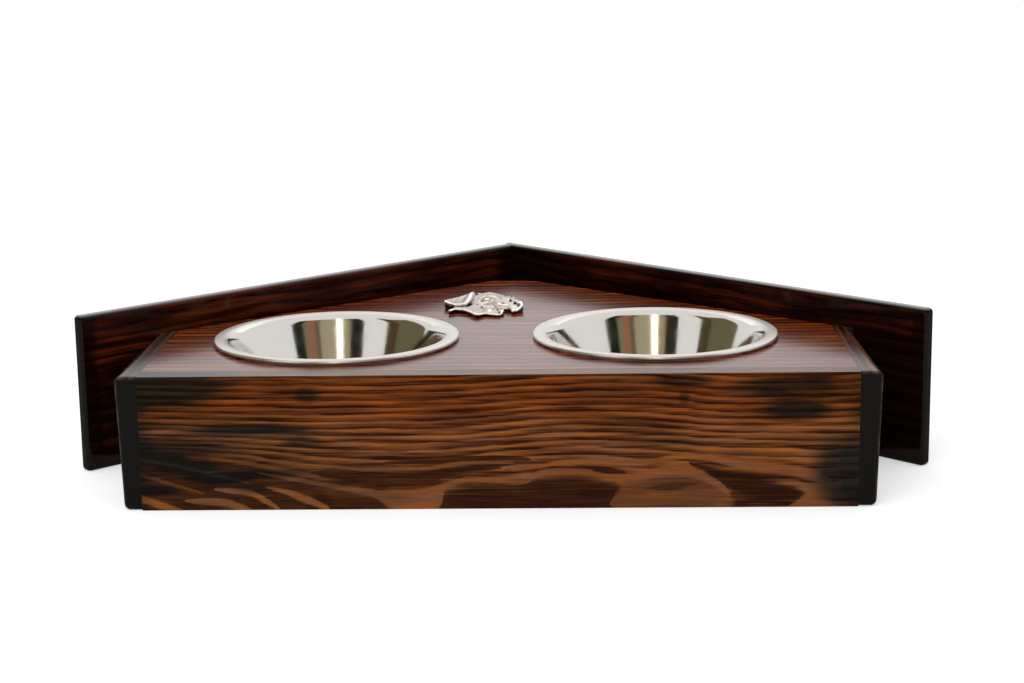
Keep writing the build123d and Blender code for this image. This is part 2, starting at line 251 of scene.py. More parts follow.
def card(name, start, end, low, high, code, strength):
    """A tall curved card seen by glossy rays only."""
    material, tree = new_material(name)
    shine = add_node(tree, "ShaderNodeEmission", {"Color": colour(code), "Strength": strength})
    add_node(tree, "ShaderNodeOutputMaterial", {"Surface": shine})
    steps = max(2, round((end - start) / CARD_FACE))
    verts = []
    for index in range(steps + 1):
        angle = math.radians(start + (end - start) * index / steps)
        for rise in (low, high):
            height = CARD_DISTANCE * math.tan(math.radians(rise))
            verts.append((CARD_DISTANCE * math.sin(angle), -CARD_DISTANCE * math.cos(angle), height))
    faces = [(2 * i, 2 * i + 2, 2 * i + 3, 2 * i + 1) for i in range(steps)]
    piece = add_object(name, new_mesh(name, verts, faces, material))
    piece.visible_camera = piece.visible_diffuse = False
    piece.visible_shadow = piece.visible_transmission = False
    piece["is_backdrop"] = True


for number, values in enumerate(CARDS):
    card(f"card_{number}", *values)
print(len(CARDS), "cards stand round the table")

# %% [markdown]
# ## Wood: where the growth rings run
#
# A board shows its tree's yearly rings wherever it cuts them, so the pattern is a solid one: each point
# of the wood belongs to a ring, and the surface only shows it. A picture wrapped round the board would
# break at every edge. Here every board gets its own frame in millimetres, with X along the grain, Y
# across it and Z out of its face, and a group turns a place in that frame into a ring number. The rings
# are circles round a heart line some way behind or below the face, stretched along the board and
# slightly wavy.

# %% Growth rings
# The waves of the grain: their length along and across a board and how far they move it, all in mm, and
# their detail. The first wave is as strong as each board asks, and the last makes small jagged tongues.
WAVES = [(120.0, 26.0, None, 2.0), (34.0, 5.0, 1.4, 1.0), (26.0, 1.2, 2.0, 2.0)]


def grain_noise(tree, place, along, across, detail):
    """A random pattern drawn out along the grain, as coarse as it is told to be in mm along and across."""
    scaled = add_node(tree, "ShaderNodeVectorMath", {
        0: place, 1: (1 / along, 1 / across, 1 / across)}, operation="MULTIPLY")
    return add_node(tree, "ShaderNodeTexNoise", {"Vector": scaled, "Scale": 1.0, "Detail": detail})


def wavering(tree, place, amount):
    """A place moved a little across the grain, as real grain wanders."""
    total = 0.0
    for along, across, shift, detail in WAVES:
        wave = grain_noise(tree, place, along, across, detail)
        total = add_node(tree, "ShaderNodeMath", {
            0: wave, 1: shift or amount, 2: total}, operation="MULTIPLY_ADD")
    shift = add_node(tree, "ShaderNodeCombineXYZ", {"Y": total})
    return add_node(tree, "ShaderNodeVectorMath", {0: place, 1: shift}, operation="ADD")


rings, sockets = new_group("growth rings", "ShaderNodeTree", [
    ("Place", "NodeSocketVector", None), ("Heart", "NodeSocketFloat", 0.0),
    ("Depth", "NodeSocketFloat", 30.0), ("Spacing", "NodeSocketFloat", 4.4),
    ("Waver", "NodeSocketFloat", 8.0)], [("Ring", "NodeSocketFloat")])
moved = wavering(rings, sockets["Place"], sockets["Waver"])
apart = add_node(rings, "ShaderNodeSeparateXYZ", {0: moved}).outputs
across = add_node(rings, "ShaderNodeMath", {0: apart["Y"], 1: sockets["Heart"]}, operation="SUBTRACT")
deep = add_node(rings, "ShaderNodeMath", {0: apart["Z"], 1: sockets["Depth"]}, operation="ADD")
flat = add_node(rings, "ShaderNodeCombineXYZ", {"X": across, "Y": deep})
reach = add_node(rings, "ShaderNodeVectorMath", {0: flat}, operation="LENGTH").outputs["Value"]
number = add_node(rings, "ShaderNodeMath", {0: reach, 1: sockets["Spacing"]}, operation="DIVIDE")
add_node(rings, "NodeGroupOutput", {"Ring": number})
print("growth rings:", len(rings.nodes), "nodes")

# %% [markdown]
# ## Wood: rings of the front board
#
# The front board is the one that everybody sees. It was sawn near the heart of the tree, so its upper
# part has even, nearly level lines, and along its lower edge the saw ran in and out of the same few
# rings. That gives the long flames and lens shapes that joiners call cathedral grain. Circles can't
# give those, so this board starts from one straight sample of rings, bottom to top, and lifts it by an
# amount that changes along the board. The lift fades out upwards. The flames and lenses themselves are
# laid over the rings as soft shapes, each with its own lightness. Each curve is a handful of points, as
# one would bend a spline.

# %% A curve through a few points
def curve_through(tree, source, points):
    """A value read from a smooth curve through (place, value) points, in their own units."""
    places = [place for place, _ in points]
    values = [value for _, value in points]
    low, high = min(values), max(values)
    share = add_node(tree, "ShaderNodeMapRange", {
        "Value": source, "From Min": places[0], "From Max": places[-1]})
    curve = add_node(tree, "ShaderNodeFloatCurve", {"Value": share})
    shape = curve.mapping.curves[0]
    unit = [((p - places[0]) / (places[-1] - places[0]), (v - low) / (high - low)) for p, v in points]
    shape.points[0].location = unit[0]
    shape.points[1].location = unit[-1]
    for place, value in unit[1:-1]:
        shape.points.new(place, value)
    curve.mapping.update()
    return add_node(tree, "ShaderNodeMapRange", {
        "Value": curve, "To Min": low, "To Max": high})


# %% How the rings rise and fall along the front board
# Ring number against height, in a stretch where the board was sawn through a ring near its lower edge.
RING_SAMPLE = [(-50, -6.1), (-25, -3.0), (0, 0.15), (10, 0.25), (16, 0.35), (22.5, 0.8), (27, 1.3),
    (30, 2.0), (35, 3.0), (60, 8.7), (110, 20.1)]
# How far the sample is lifted near the lower edge, and in the left part further up, along the board.
EDGE_LIFT = [(-235, 0), (-200, 4), (-150, 14), (-113, 22), (-90, 17), (-70, 19.5), (-55, 22),
    (-38, 17), (0, 2), (30, 0), (58, 6), (75, 17), (88, 22), (125, 23), (140, 25.5), (160, 28),
    (178, 29), (190, 33), (210, 30), (235, 28)]
LEFT_LIFT = [(-235, -44), (-200, -32), (-160, -17), (-120, -5), (-80, 0), (235, 0)]
SWELL = [(-235, -1), (-150, 0), (-60, 1.5), (0, -1), (60, -3.5), (110, -1.5), (160, 1), (235, 0)]
EDGE_FADE = 16.0            # mm over which the edge lift falls to a third
LEFT_FADE = 62.0            # mm up to which the left part's lift reaches
FRONT_WAVER = 5.0           # mm, how far the slow waves move the grain
RING_LEAN = -0.9            # rise of the rings for each mm out of the board
print("rings", RING_SAMPLE[0][1], "to", RING_SAMPLE[-1][1], "bent by", len(EDGE_LIFT), "points at the edge")

# %% Flames and lenses of the front board
# For each shape how light it is, then its middle line as (along, up, half its height) in mm.
FIGURE = [
    (0.1, [(-224, 20, 26), (-205, 16, 26), (-185, 14, 24), (-160, 12, 20), (-135, 9, 16),
        (-115, 6, 12), (-102, 2, 6)]),
    (0.55, [(-222, 33, 0.8), (-200, 29, 1.1), (-178, 24, 1.1), (-160, 20, 0.6), (-150, 17, 0.2)]),
    (0.5, [(-222, 24, 0.8), (-205, 19, 1.2), (-190, 14, 1.0), (-180, 11, 0.3)]),
    (0.55, [(-176, 33, 0.4), (-150, 29, 1.1), (-125, 24.5, 1.1), (-105, 21, 0.4)]),
    (0.05, [(-118, 0, 1), (-112, 1, 9), (-103, 1, 13), (-92, 2, 12), (-80, 2, 9), (-70, 1, 5),
        (-62, 0, 0.5)]),
    (0.05, [(-39, 2, 1), (-34, 2, 8), (-22, 2, 12), (0, 1, 14), (15, 2, 14), (30, 4, 17), (52, 5, 16),
        (66, 6, 12), (74, 7, 6), (78, 8, 1)]),
    (0.05, [(-114, 24, 0.5), (-95, 22.5, 4), (-75, 20.5, 6), (-60, 19, 6), (-45, 20, 5),
        (-30, 23, 3.5), (-15, 25, 2), (2, 26, 0.4)]),
    (0.03, [(-88, 29.4, 0.05), (-64, 30, 0.8), (-45, 30, 1.9), (-20, 31.8, 2.2), (0, 32, 1.9),
        (20, 31, 0.3)]),
    (0.65, [(-108, 28, 0.3), (-80, 25.8, 0.9), (-55, 25.2, 1.1), (-30, 27.5, 1.1), (-10, 29, 1),
        (10, 28.5, 0.3)]),
    (0.05, [(44, 25, 1), (58, 25, 2.4), (68, 24, 2), (78, 22, 1)]),
    (0.9, [(-79, 11, 0.4), (-70, 8, 4), (-62, 5, 7.5), (-52, 3, 9), (-42, 4, 9), (-37, 6, 6),
        (-33, 12, 1)]),
    (0.56, [(68, 2, 1), (74, 5, 7), (82, 8, 12), (100, 8, 14), (120, 8, 14), (132, 10, 9),
        (139, 11, 4), (142, 11, 1)]),
    (0.0, [(116, 28, 0.6), (126, 24, 3), (138, 18, 5.5), (156, 13, 7), (174, 9, 5), (187, 8, 1)]),
    (0.4, [(77, 12.8, 0.3), (90, 13.5, 2.8), (105, 14.8, 5.0), (120, 15.5, 4.6), (130, 14.5, 2.6),
        (137, 13, 0.4)]),
    (0.15, [(88, 12, 0.2), (94, 12.6, 1.0), (101, 13.2, 2.2), (110, 14, 2.2), (117, 15, 1.0),
        (123, 16, 0.2)]),
    (0.8, [(-146, 24, 0.5), (-123, 19.7, 1.3), (-95, 14.7, 1.7), (-79, 11.9, 1.9), (-63, 9.6, 2.2),
        (-50, 10.4, 2), (-38, 13.5, 1.8), (-26, 16.6, 1.8), (-14, 18.6, 1.6), (0, 17.6, 1.6),
        (13, 17.3, 1.6), (22, 21, 1.8), (31, 23.2, 1.8), (48, 23.6, 1.7), (62, 20.8, 2), (74, 19, 2.4),
        (97, 22.6, 3), (109, 24, 3), (120, 22, 3), (130, 17, 3), (138, 11, 2), (141, 7, 0.5)]),
    (0.85, [(8, 25, 0.4), (24, 26.8, 1.2), (42, 29.4, 1.3), (60, 29.8, 1.3), (82, 28.3, 1.4),
        (97, 29.9, 1.4), (112, 31.6, 1.6), (126, 31, 1.6), (141, 28, 2), (163, 25, 3.4),
        (178, 22.6, 3.8), (191, 19.6, 3.6), (198, 17, 2.5), (203, 15, 0.5)]),
    (0.8, [(176, 1, 0.5), (182, 3, 2), (188, 5, 5), (193, 8, 4), (198, 11, 1)]),
    (1.0, [(-174, 13.8, 0.4), (-165, 12.7, 1.5), (-152, 11, 1.9), (-144, 7.4, 1.9), (-134, 0.5, 1.5)]),
    (1.0, [(-192, 6, 0.6), (-184, 5.8, 1.8), (-172, 5.4, 2.4), (-158, 2.4, 2), (-150, -1, 1)]),
    (1.0, [(-142, 15, 0.4), (-133, 12.9, 1.3), (-121, 8.6, 2.2), (-110, 4, 2.4), (-103, -1, 1.5)]),
    (1.0, [(-230, 11, 2), (-216, 7, 2.6), (-205, 2.5, 2.4), (-194, -1, 1)]),
]
FIGURE_DROP = 4.2           # mm, how far the wavering lifts the grain on average
FIGURE_SOFT = 0.45          # share of the half height over which a shape fades out
FIGURE_COVER = 0.92         # how much of the rings a shape hides


def drawn_figure(tree, along, up):
    """Lays the shapes over each other. Gives their lightness times cover, and their cover."""
    figure = (0.0, 0.0, 0.0)
    for level, points in FIGURE:
        middle = curve_through(tree, along, [(x, z) for x, z, _ in points])
        half = curve_through(tree, along, [(x, h) for x, _, h in points])
        inside = add_node(tree, "ShaderNodeMath", {0: along, 1: points[0][0]}, operation="GREATER_THAN")
        before = add_node(tree, "ShaderNodeMath", {0: along, 1: points[-1][0]}, operation="LESS_THAN")
        inside = add_node(tree, "ShaderNodeMath", {0: inside, 1: before}, operation="MULTIPLY")
        away = add_node(tree, "ShaderNodeMath", {0: up, 1: middle}, operation="SUBTRACT")
        away = add_node(tree, "ShaderNodeMath", {0: away}, operation="ABSOLUTE")
        away = add_node(tree, "ShaderNodeMath", {0: away, 1: half}, operation="DIVIDE")
        cover = add_node(tree, "ShaderNodeMapRange", {
            "Value": away, "From Min": 1.0 - FIGURE_SOFT, "From Max": 1.0 + FIGURE_SOFT,
            "To Min": FIGURE_COVER, "To Max": 0.0}, interpolation_type="SMOOTHSTEP")
        cover = add_node(tree, "ShaderNodeMath", {0: cover, 1: inside}, operation="MULTIPLY")
        figure = add_node(tree, "ShaderNodeMix", {
            "Factor": cover, "A": figure, "B": (level, 1.0, 0.0)}, data_type="VECTOR")
    return figure


print(len(FIGURE), "flames and lenses, from", sum(len(points) for _, points in FIGURE), "points")

# %% Rings of the front board
front_rings, sockets = new_group("front board rings", "ShaderNodeTree", [
    ("Place", "NodeSocketVector", None)], [("Ring", "NodeSocketFloat"), ("Figure", "NodeSocketVector")])
moved = wavering(front_rings, sockets["Place"], FRONT_WAVER)
apart = add_node(front_rings, "ShaderNodeSeparateXYZ", {0: moved}).outputs
up = add_node(front_rings, "ShaderNodeMath", {0: apart["Y"], 1: -1 / EDGE_FADE}, operation="MULTIPLY")
near_edge = add_node(front_rings, "ShaderNodeMath", {0: up}, operation="EXPONENT")
near_left = add_node(front_rings, "ShaderNodeMapRange", {
    "Value": apart["Y"], "From Min": 0.0, "From Max": LEFT_FADE, "To Min": 1.0, "To Max": 0.0},
    interpolation_type="SMOOTHSTEP")
height = apart["Y"]
for points, fade in ((EDGE_LIFT, near_edge), (LEFT_LIFT, near_left), (SWELL, 1.0)):
    lift = curve_through(front_rings, apart["X"], points)
    height = add_node(front_rings, "ShaderNodeMath", {
        0: lift, 1: fade, 2: height}, operation="MULTIPLY_ADD")
slant = add_node(front_rings, "ShaderNodeMath", {
    0: apart["Z"], 1: RING_LEAN, 2: height}, operation="MULTIPLY_ADD")
number = curve_through(front_rings, slant, RING_SAMPLE)
level = add_node(front_rings, "ShaderNodeMath", {0: apart["Y"], 1: FIGURE_DROP}, operation="SUBTRACT")
figure = drawn_figure(front_rings, apart["X"], level)
add_node(front_rings, "NodeGroupOutput", {"Ring": number, "Figure": figure})
print("front board rings:", len(front_rings.nodes), "nodes")

# %% [markdown]
# ## Wood: scorched, brushed and lacquered softwood
#
# A flame chars the soft early wood of each ring first. Brushing then takes the char off the hard late
# wood, which stands proud as a thin light line, and the lacquer darkens and warms everything. One could
# paint lines, but here the ring number says where in its year each point grew, and the rest follows
# from that: its colour, how burnt it is and how high it stands. Streaks along the grain fray the lines,
# and slow clouds show where the flame stayed longer. Across the end grain the char goes deep, so it is
# nearly black.

# %% Scorched softwood
# Patterns along the grain: their coarseness along and across it in mm, and their detail.
CLOUD = (75.0, 13.0, 2.0)       # where the flame stayed longer
GROUND = (60.0, 7.0, 1.0)       # where the early wood stayed lighter
STRAND = (38.0, 1.4, 2.0)       # bundles of fibres that took the brush better or worse
FIBRE = (40.0, 0.45, 1.0)       # single fibres, drawn about twice as coarse as they are
WARMTH = (45.0, 5.0, 1.0)       # where the lacquer went in deeper
RING_CHANGE = 55.0              # mm, how soon a ring changes its strength along the board
STRAND_OVER_SHAPES = 0.35       # how much the strands fray the drawn shapes once more
LINE_RELIEF = 0.09 * MM         # how proud the late wood and the fibres stand
FIBRE_RELIEF = 0.03 * MM
# How light the wood is through one year: the early wood is dark, then the late wood comes up quickly.
YEAR = [(0.0, 0.3), (0.1, 0.0), (0.3, 0.15), (0.48, 0.4), (0.64, 0.8), (0.8, 1.0), (0.92, 0.8), (1.0, 0.3)]

scorched, sockets = new_group("scorched softwood", "ShaderNodeTree", [
    ("Place", "NodeSocketVector", None), ("Ring", "NodeSocketFloat", 0.0), ("Burn", "NodeSocketFloat", 0.0),
    ("Along", "NodeSocketVector", (1.0, 0.0, 0.0)), ("Early", "NodeSocketColor", colour("4a2a17")),
    ("Late", "NodeSocketColor", colour("8a5830")), ("Char", "NodeSocketColor", colour("15110c")),
    ("Ash", "NodeSocketColor", colour("443c33")), ("End", "NodeSocketColor", colour("1a1816")),
    ("Flame", "NodeSocketFloat", 0.5), ("Figure", "NodeSocketVector", (0.0, 0.0, 0.0)),
    ("Warm", "NodeSocketColor", colour("a0642c"))],
    [("Colour", "NodeSocketColor"), ("Height", "NodeSocketFloat")])
cloud, ground, strand, fibre, warmth = (
    grain_noise(scorched, sockets["Place"], *pattern) for pattern in (CLOUD, GROUND, STRAND, FIBRE, WARMTH))
phase = add_node(scorched, "ShaderNodeMath", {0: sockets["Ring"]}, operation="FRACT")
late = curve_through(scorched, phase, YEAR)
print("scorched softwood starts with", len(scorched.nodes), "nodes")

# %% Light lines on a dark ground
# Each ring has its own strength, which changes slowly along it.
apart = add_node(scorched, "ShaderNodeSeparateXYZ", {0: sockets["Place"]}).outputs
along = add_node(scorched, "ShaderNodeMath", {0: apart["X"], 1: 1 / RING_CHANGE}, operation="MULTIPLY")
ring_place = add_node(scorched, "ShaderNodeCombineXYZ", {"X": along, "Y": sockets["Ring"]})
ring_noise = add_node(scorched, "ShaderNodeTexNoise", {"Vector": ring_place, "Scale": 1.0, "Detail": 1.0})
ring_strength = add_node(scorched, "ShaderNodeMapRange", {
    "Value": ring_noise, "From Min": 0.3, "From Max": 0.68, "To Min": 0.3, "To Max": 1.05})
ground = add_node(scorched, "ShaderNodeMapRange", {
    "Value": ground, "From Min": 0.35, "From Max": 0.65, "To Min": 0.0, "To Max": 0.26})
line = add_node(scorched, "ShaderNodeMath", {
    0: late, 1: ring_strength, 2: ground}, operation="MULTIPLY_ADD")
strand = add_node(scorched, "ShaderNodeMapRange", {
    "Value": strand, "From Min": 0.3, "From Max": 0.7, "To Min": -0.2, "To Max": 0.2})
line = add_node(scorched, "ShaderNodeMath", {0: line, 1: strand}, operation="ADD")
figure = add_node(scorched, "ShaderNodeSeparateXYZ", {0: sockets["Figure"]}).outputs
bare = add_node(scorched, "ShaderNodeMath", {0: 1.0, 1: figure["Y"]}, operation="SUBTRACT")
line = add_node(scorched, "ShaderNodeMath", {0: line, 1: bare, 2: figure["X"]}, operation="MULTIPLY_ADD")
line = add_node(scorched, "ShaderNodeMath", {
    0: strand, 1: STRAND_OVER_SHAPES, 2: line}, operation="MULTIPLY_ADD", use_clamp=True)
print("the lines of a year take", len(scorched.nodes), "nodes")

# %% Char, lacquer and end grain
flame = add_node(scorched, "ShaderNodeMapRange", {
    "Value": cloud, "From Min": sockets["Flame"], "From Max": 0.85, "To Min": 0.0, "To Max": 1.0})
darkening = add_node(scorched, "ShaderNodeMath", {0: flame, 1: sockets["Burn"]}, operation="ADD", use_clamp=True)
warmth = add_node(scorched, "ShaderNodeMapRange", {"Value": warmth, "From Min": 0.4, "From Max": 0.6})
light = add_node(scorched, "ShaderNodeMix", {
    "Factor": warmth, "A": sockets["Late"], "B": sockets["Warm"]}, data_type="RGBA")
wood = add_node(scorched, "ShaderNodeMix", {
    "Factor": line, "A": sockets["Early"], "B": light}, data_type="RGBA")
burnt = add_node(scorched, "ShaderNodeMix", {
    "Factor": line, "A": sockets["Char"], "B": sockets["Ash"]}, data_type="RGBA")
charred = add_node(scorched, "ShaderNodeMix", {"Factor": darkening, "A": wood, "B": burnt}, data_type="RGBA")
tone = add_node(scorched, "ShaderNodeMapRange", {
    "Value": fibre, "From Min": 0.25, "From Max": 0.75, "To Min": 0.72, "To Max": 1.25})
toned = add_node(scorched, "ShaderNodeVectorMath", {0: charred, "Scale": tone}, operation="SCALE")
facing = add_node(scorched, "ShaderNodeNewGeometry").outputs["True Normal"]
end_grain = add_node(scorched, "ShaderNodeVectorMath", {
    0: facing, 1: sockets["Along"]}, operation="DOT_PRODUCT").outputs["Value"]
end_grain = add_node(scorched, "ShaderNodeMath", {0: end_grain}, operation="ABSOLUTE")
end_grain = add_node(scorched, "ShaderNodeMapRange", {
    "Value": end_grain, "From Min": 0.55, "From Max": 0.9}, interpolation_type="SMOOTHSTEP")
surface = add_node(scorched, "ShaderNodeMix", {
    "Factor": end_grain, "A": toned, "B": sockets["End"]}, data_type="RGBA")
ridge = add_node(scorched, "ShaderNodeMath", {0: line, 1: LINE_RELIEF}, operation="MULTIPLY")
ridge = add_node(scorched, "ShaderNodeMath", {
    0: fibre, 1: FIBRE_RELIEF, 2: ridge}, operation="MULTIPLY_ADD")
add_node(scorched, "NodeGroupOutput", {"Colour": surface, "Height": ridge})
print("scorched softwood:", len(scorched.nodes), "nodes")

# %% [markdown]
# ## Wood: one material for each board
#
# The boards differ only in how they lie, which rings they show and how hard they were burnt, so one
# function builds the material of any board from the two groups. The lacquer is the shader's coat: it is
# smooth and thick where a face looks up, as it levelled there, and thin on the upright faces, which it
# ran off.

# %% Boards
GRAIN_X = (1.0, 0.0, 0.0)
UP = Vector((0, 0, 1))
SIDE_COAT = 0.05            # how much of the lacquer stayed on an upright face


def board_place(tree, along, across, origin, squeeze=(1.0, 1.0, 1.0)):
    """Object coordinates as a place in a board's own frame, in mm. A squeeze below 1 widens the grain."""
    along, across = Vector(along).normalized(), Vector(across).normalized()
    turn = Matrix((along, across, along.cross(across)))
    shift = -(turn @ Vector(origin)) / MM
    coordinates = add_node(tree, "ShaderNodeTexCoord").outputs["Object"]
    place = add_node(tree, "ShaderNodeMapping", {
        "Vector": coordinates, "Location": shift, "Rotation": turn.to_euler(), "Scale": (1 / MM,) * 3})
    return add_node(tree, "ShaderNodeVectorMath", {0: place, 1: squeeze}, operation="MULTIPLY")


def board_material(name, along, across, origin, ring_group, ring_values, colours, flame, darkening=None,
                   coat_ior=1.27, film_relief=0.3, squeeze=(1.0, 1.0, 1.0), gloss=0.07, toning=None):
    """Scorched and lacquered wood for one board."""
    material, tree = new_material(name)
    place = board_place(tree, along, across, origin, squeeze)
    ring = add_node(tree, "ShaderNodeGroup", {"Place": place, **ring_values}, node_tree=ring_group)
    inputs = {"Place": place, "Ring": ring, "Along": Vector(along).normalized(), "Flame": flame}
    inputs.update({title: colour(code) for title, code in colours.items()})
    if "Figure" in ring.outputs:
        inputs["Figure"] = ring.outputs["Figure"]
    if darkening:
        inputs["Burn"] = darkening(tree, place)
    wood = add_node(tree, "ShaderNodeGroup", inputs, node_tree=scorched).outputs
    facing = add_node(tree, "ShaderNodeNewGeometry").outputs["Normal"]
    upwards = add_node(tree, "ShaderNodeSeparateXYZ", {0: facing}).outputs["Z"]
    level = add_node(tree, "ShaderNodeMapRange", {
        "Value": upwards, "From Min": 0.5, "From Max": 0.9, "To Min": SIDE_COAT, "To Max": 1.0})
    relief, film = (add_node(tree, "ShaderNodeBump", {
        "Strength": strength, "Distance": 1.0, "Height": wood["Height"]})
        for strength in (1.0, film_relief))
    finish = toning(tree, place, wood["Colour"]) if toning else wood["Colour"]
    shader = add_node(tree, "ShaderNodeBsdfPrincipled", {
        "Base Color": finish, "Roughness": 0.45, "Specular IOR Level": 0.01, "Normal": relief,
        "Coat Weight": level, "Coat Roughness": gloss, "Coat IOR": coat_ior, "Coat Normal": film})
    add_node(tree, "ShaderNodeOutputMaterial", {"Surface": shader})
    return material


print("an upright face keeps", SIDE_COAT, "of the lacquer")

# %% [markdown]
# A flame lingers at the ends of a board, along an edge and in spots. Each of the next two helpers makes a
# function that adds such darkening to a material when the board is known, so every board has its own list.
# On the wall boards the darkening at the corner where they meet is painted shade.

# %% Where the flame stayed longest
SPOT_CORE = 0.35            # share of a burnt spot that is burnt evenly; the rest fades


def scorches(spots, rim_from, rim_to, rim_strength):
    """Burnt spots, each its middle, its half lengths and its strength, and a burnt rim at both ends."""
    def darkening(tree, place):
        total = 0.0
        for along, across, half_along, half_across, strength in spots:
            offset = add_node(tree, "ShaderNodeVectorMath", {
                0: place, 1: (along, across, 0)}, operation="SUBTRACT")
            scaled = add_node(tree, "ShaderNodeVectorMath", {
                0: offset, 1: (1 / half_along, 1 / half_across, 0.0)}, operation="MULTIPLY")
            far = add_node(tree, "ShaderNodeVectorMath", {0: scaled}, operation="LENGTH").outputs["Value"]
            spot = add_node(tree, "ShaderNodeMapRange", {
                "Value": far, "From Min": SPOT_CORE, "From Max": 1.0, "To Min": strength, "To Max": 0.0},
                interpolation_type="SMOOTHSTEP")
            total = add_node(tree, "ShaderNodeMath", {0: spot, 1: total}, operation="ADD")
        far = add_node(tree, "ShaderNodeSeparateXYZ", {0: place}).outputs["X"]
        far = add_node(tree, "ShaderNodeMath", {0: far}, operation="ABSOLUTE")
        rim = add_node(tree, "ShaderNodeMapRange", {
            "Value": far, "From Min": rim_from, "From Max": rim_to, "To Min": 0.0, "To Max": rim_strength},
            interpolation_type="SMOOTHSTEP")
        return add_node(tree, "ShaderNodeMath", {0: rim, 1: total}, operation="ADD")
    return darkening


def darker_below(low, high, least, ends=()):
    """Darker all over below a height, and near each (place, reach, strength) along the board."""
    def darkening(tree, place):
        apart = add_node(tree, "ShaderNodeSeparateXYZ", {0: place}).outputs
        total = add_node(tree, "ShaderNodeMapRange", {
            "Value": apart["Y"], "From Min": low, "From Max": high, "To Min": 1.0, "To Max": least},
            interpolation_type="SMOOTHSTEP")
        for middle, reach, strength in ends:
            far = add_node(tree, "ShaderNodeMath", {0: apart["X"], 1: middle}, operation="SUBTRACT")
            far = add_node(tree, "ShaderNodeMath", {0: far}, operation="ABSOLUTE")
            end = add_node(tree, "ShaderNodeMapRange", {
                "Value": far, "From Min": SPOT_CORE * reach, "From Max": reach, "To Min": strength,
                "To Max": 0.0}, interpolation_type="SMOOTHSTEP")
            total = add_node(tree, "ShaderNodeMath", {0: end, 1: total}, operation="ADD")
        return total
    return darkening


# Along and up to the middle, half length and half height in mm, and strength.
FRONT_SPOTS = [
    (-208, 78, 66, 18, 1.2), (-150, 51, 52, 4.5, 0.8), (-192, 40, 46, 8, 0.5), (-208, 33, 24, 5.5, 0.9),
    (-190, 28, 28, 5.5, 0.9), (-170, 20, 26, 5, 0.9), (-150, 14, 18, 4, 0.5), (-208, 13, 20, 5, 0.8),
    (-140, 23, 36, 4, 0.6), (-106, 17, 30, 6, 0.45),
    (-115, 72, 11, 7, 0.8), (-117, 43, 18, 4, 0.6), (178, 75, 50, 10, 0.9), (180, 61, 30, 9, 1.0),
    (112, 79, 26, 6, 0.85), (113, 69, 5, 5, 0.7), (207, 22, 24, 32, 0.95), (25, 49, 14, 4, 0.3),
    (-185, 38, 100, 40, 0.34),
]
front_burn = scorches(FRONT_SPOTS, 206, 220, 0.5)
wall_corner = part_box("wall_board_left")[1].y / MM / math.sqrt(2)
wall_end = (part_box("wall_board_right")[1].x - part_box("wall_board_right")[0].y) / MM / math.sqrt(2)
# Near the corner where the wall boards meet the darkening is painted shade; near their open ends it is
# char.
left_wall_char_and_shade = darker_below(-40, 80, 0.28, [(wall_corner, 26, 0.7), (-wall_end, 18, 0.8)])
right_wall_char_and_shade = darker_below(60, 118, 0.3, [(-wall_corner, 60, 0.8), (wall_end, 16, 0.8)])
print("wall boards: from", round(wall_corner), "mm at the corner to", round(wall_end), "mm at the end")

# %% [markdown]
# The six boards follow. The front board is tinted greyish near its lower edge, which is a painted
# reflection of the white floor, and amber near the upper one. The wall boards were burnt hardest, most
# of all at their open ends, and their darkening in the corner where they meet is painted shade. Their
# thick lacquer makes them shine nearly black.

# %% The six boards
# Near the lower edge the board is tinted bluish grey as a painted reflection of the white floor.
FLOOR_REFLECTION_TINT = (0.88, 0.9, 1.06)
# From and to, in mm above the lower edge, and the tint that the board has come to there.
UPPER_TINTS = [(20.0, 34.0, (0.96, 0.96, 0.96)), (46.0, 66.0, (0.82, 0.63, 0.44))]


def redder_upwards(tree, place, base):
    """A bluish grey painted reflection of the floor near the lower edge, turning amber near the upper one.
    """
    up = add_node(tree, "ShaderNodeSeparateXYZ", {0: place}).outputs["Y"]
    tint = FLOOR_REFLECTION_TINT
    for low, high, shade in UPPER_TINTS:
        share = add_node(tree, "ShaderNodeMapRange", {
            "Value": up, "From Min": low, "From Max": high}, interpolation_type="SMOOTHSTEP")
        tint = add_node(tree, "ShaderNodeMix", {"Factor": share, "A": tint, "B": shade}, data_type="VECTOR")
    return add_node(tree, "ShaderNodeVectorMath", {0: base, 1: tint}, operation="MULTIPLY")


def finish_with(material, *names):
    """Gives the named CAD nodes a material. Their meshes stay as they are."""
    for name in names:
        nodes[name].data.materials.clear()
        nodes[name].data.materials.append(material)


ORIGIN = (0, 0, 0)
front_y, top_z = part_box("front_board")[0].y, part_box("top_panel")[1].z
TOP_COLOURS = {"Early": "340e06", "Late": "8a3a1a", "Warm": "a04e14"}
SIDE = {"ring_group": rings, "colours": TOP_COLOURS, "flame": 0.6, "film_relief": 0.08, "gloss": 0.2,
        "ring_values": {"Heart": -20.0, "Depth": 24.0, "Spacing": 6.0, "Waver": 8.0}}
WALL = {"ring_group": rings, "flame": 0.4, "film_relief": 0.1, "coat_ior": 2.1,
        "colours": {"Early": "180400", "Late": "4e1806", "Warm": "6e2c0c", "Char": "0b0301",
                    "Ash": "1e0a04", "End": "0e0b09"},
        "ring_values": {"Heart": -30.0, "Depth": 20.0, "Spacing": 6.4, "Waver": 24.0}}
finish_with(board_material(
    "flamed pine front board", GRAIN_X, UP, (0, front_y, 0), front_rings, {},
    {"Early": "30160a", "Late": "8e5a38", "Warm": "a05e2a", "Ash": "302a22"}, flame=0.56,
    darkening=front_burn, gloss=0.2, toning=redder_upwards), "front_board")
finish_with(board_material(
    "flamed pine top panel", GRAIN_X, (0, 1, 0), (0, front_y, top_z), rings,
    {"Heart": -20.0, "Depth": 16.0, "Spacing": 3.6, "Waver": 9.0}, TOP_COLOURS, flame=0.66,
    film_relief=0.16, squeeze=(0.6, 0.35, 1.0), gloss=0.17, coat_ior=1.42), "top_panel")
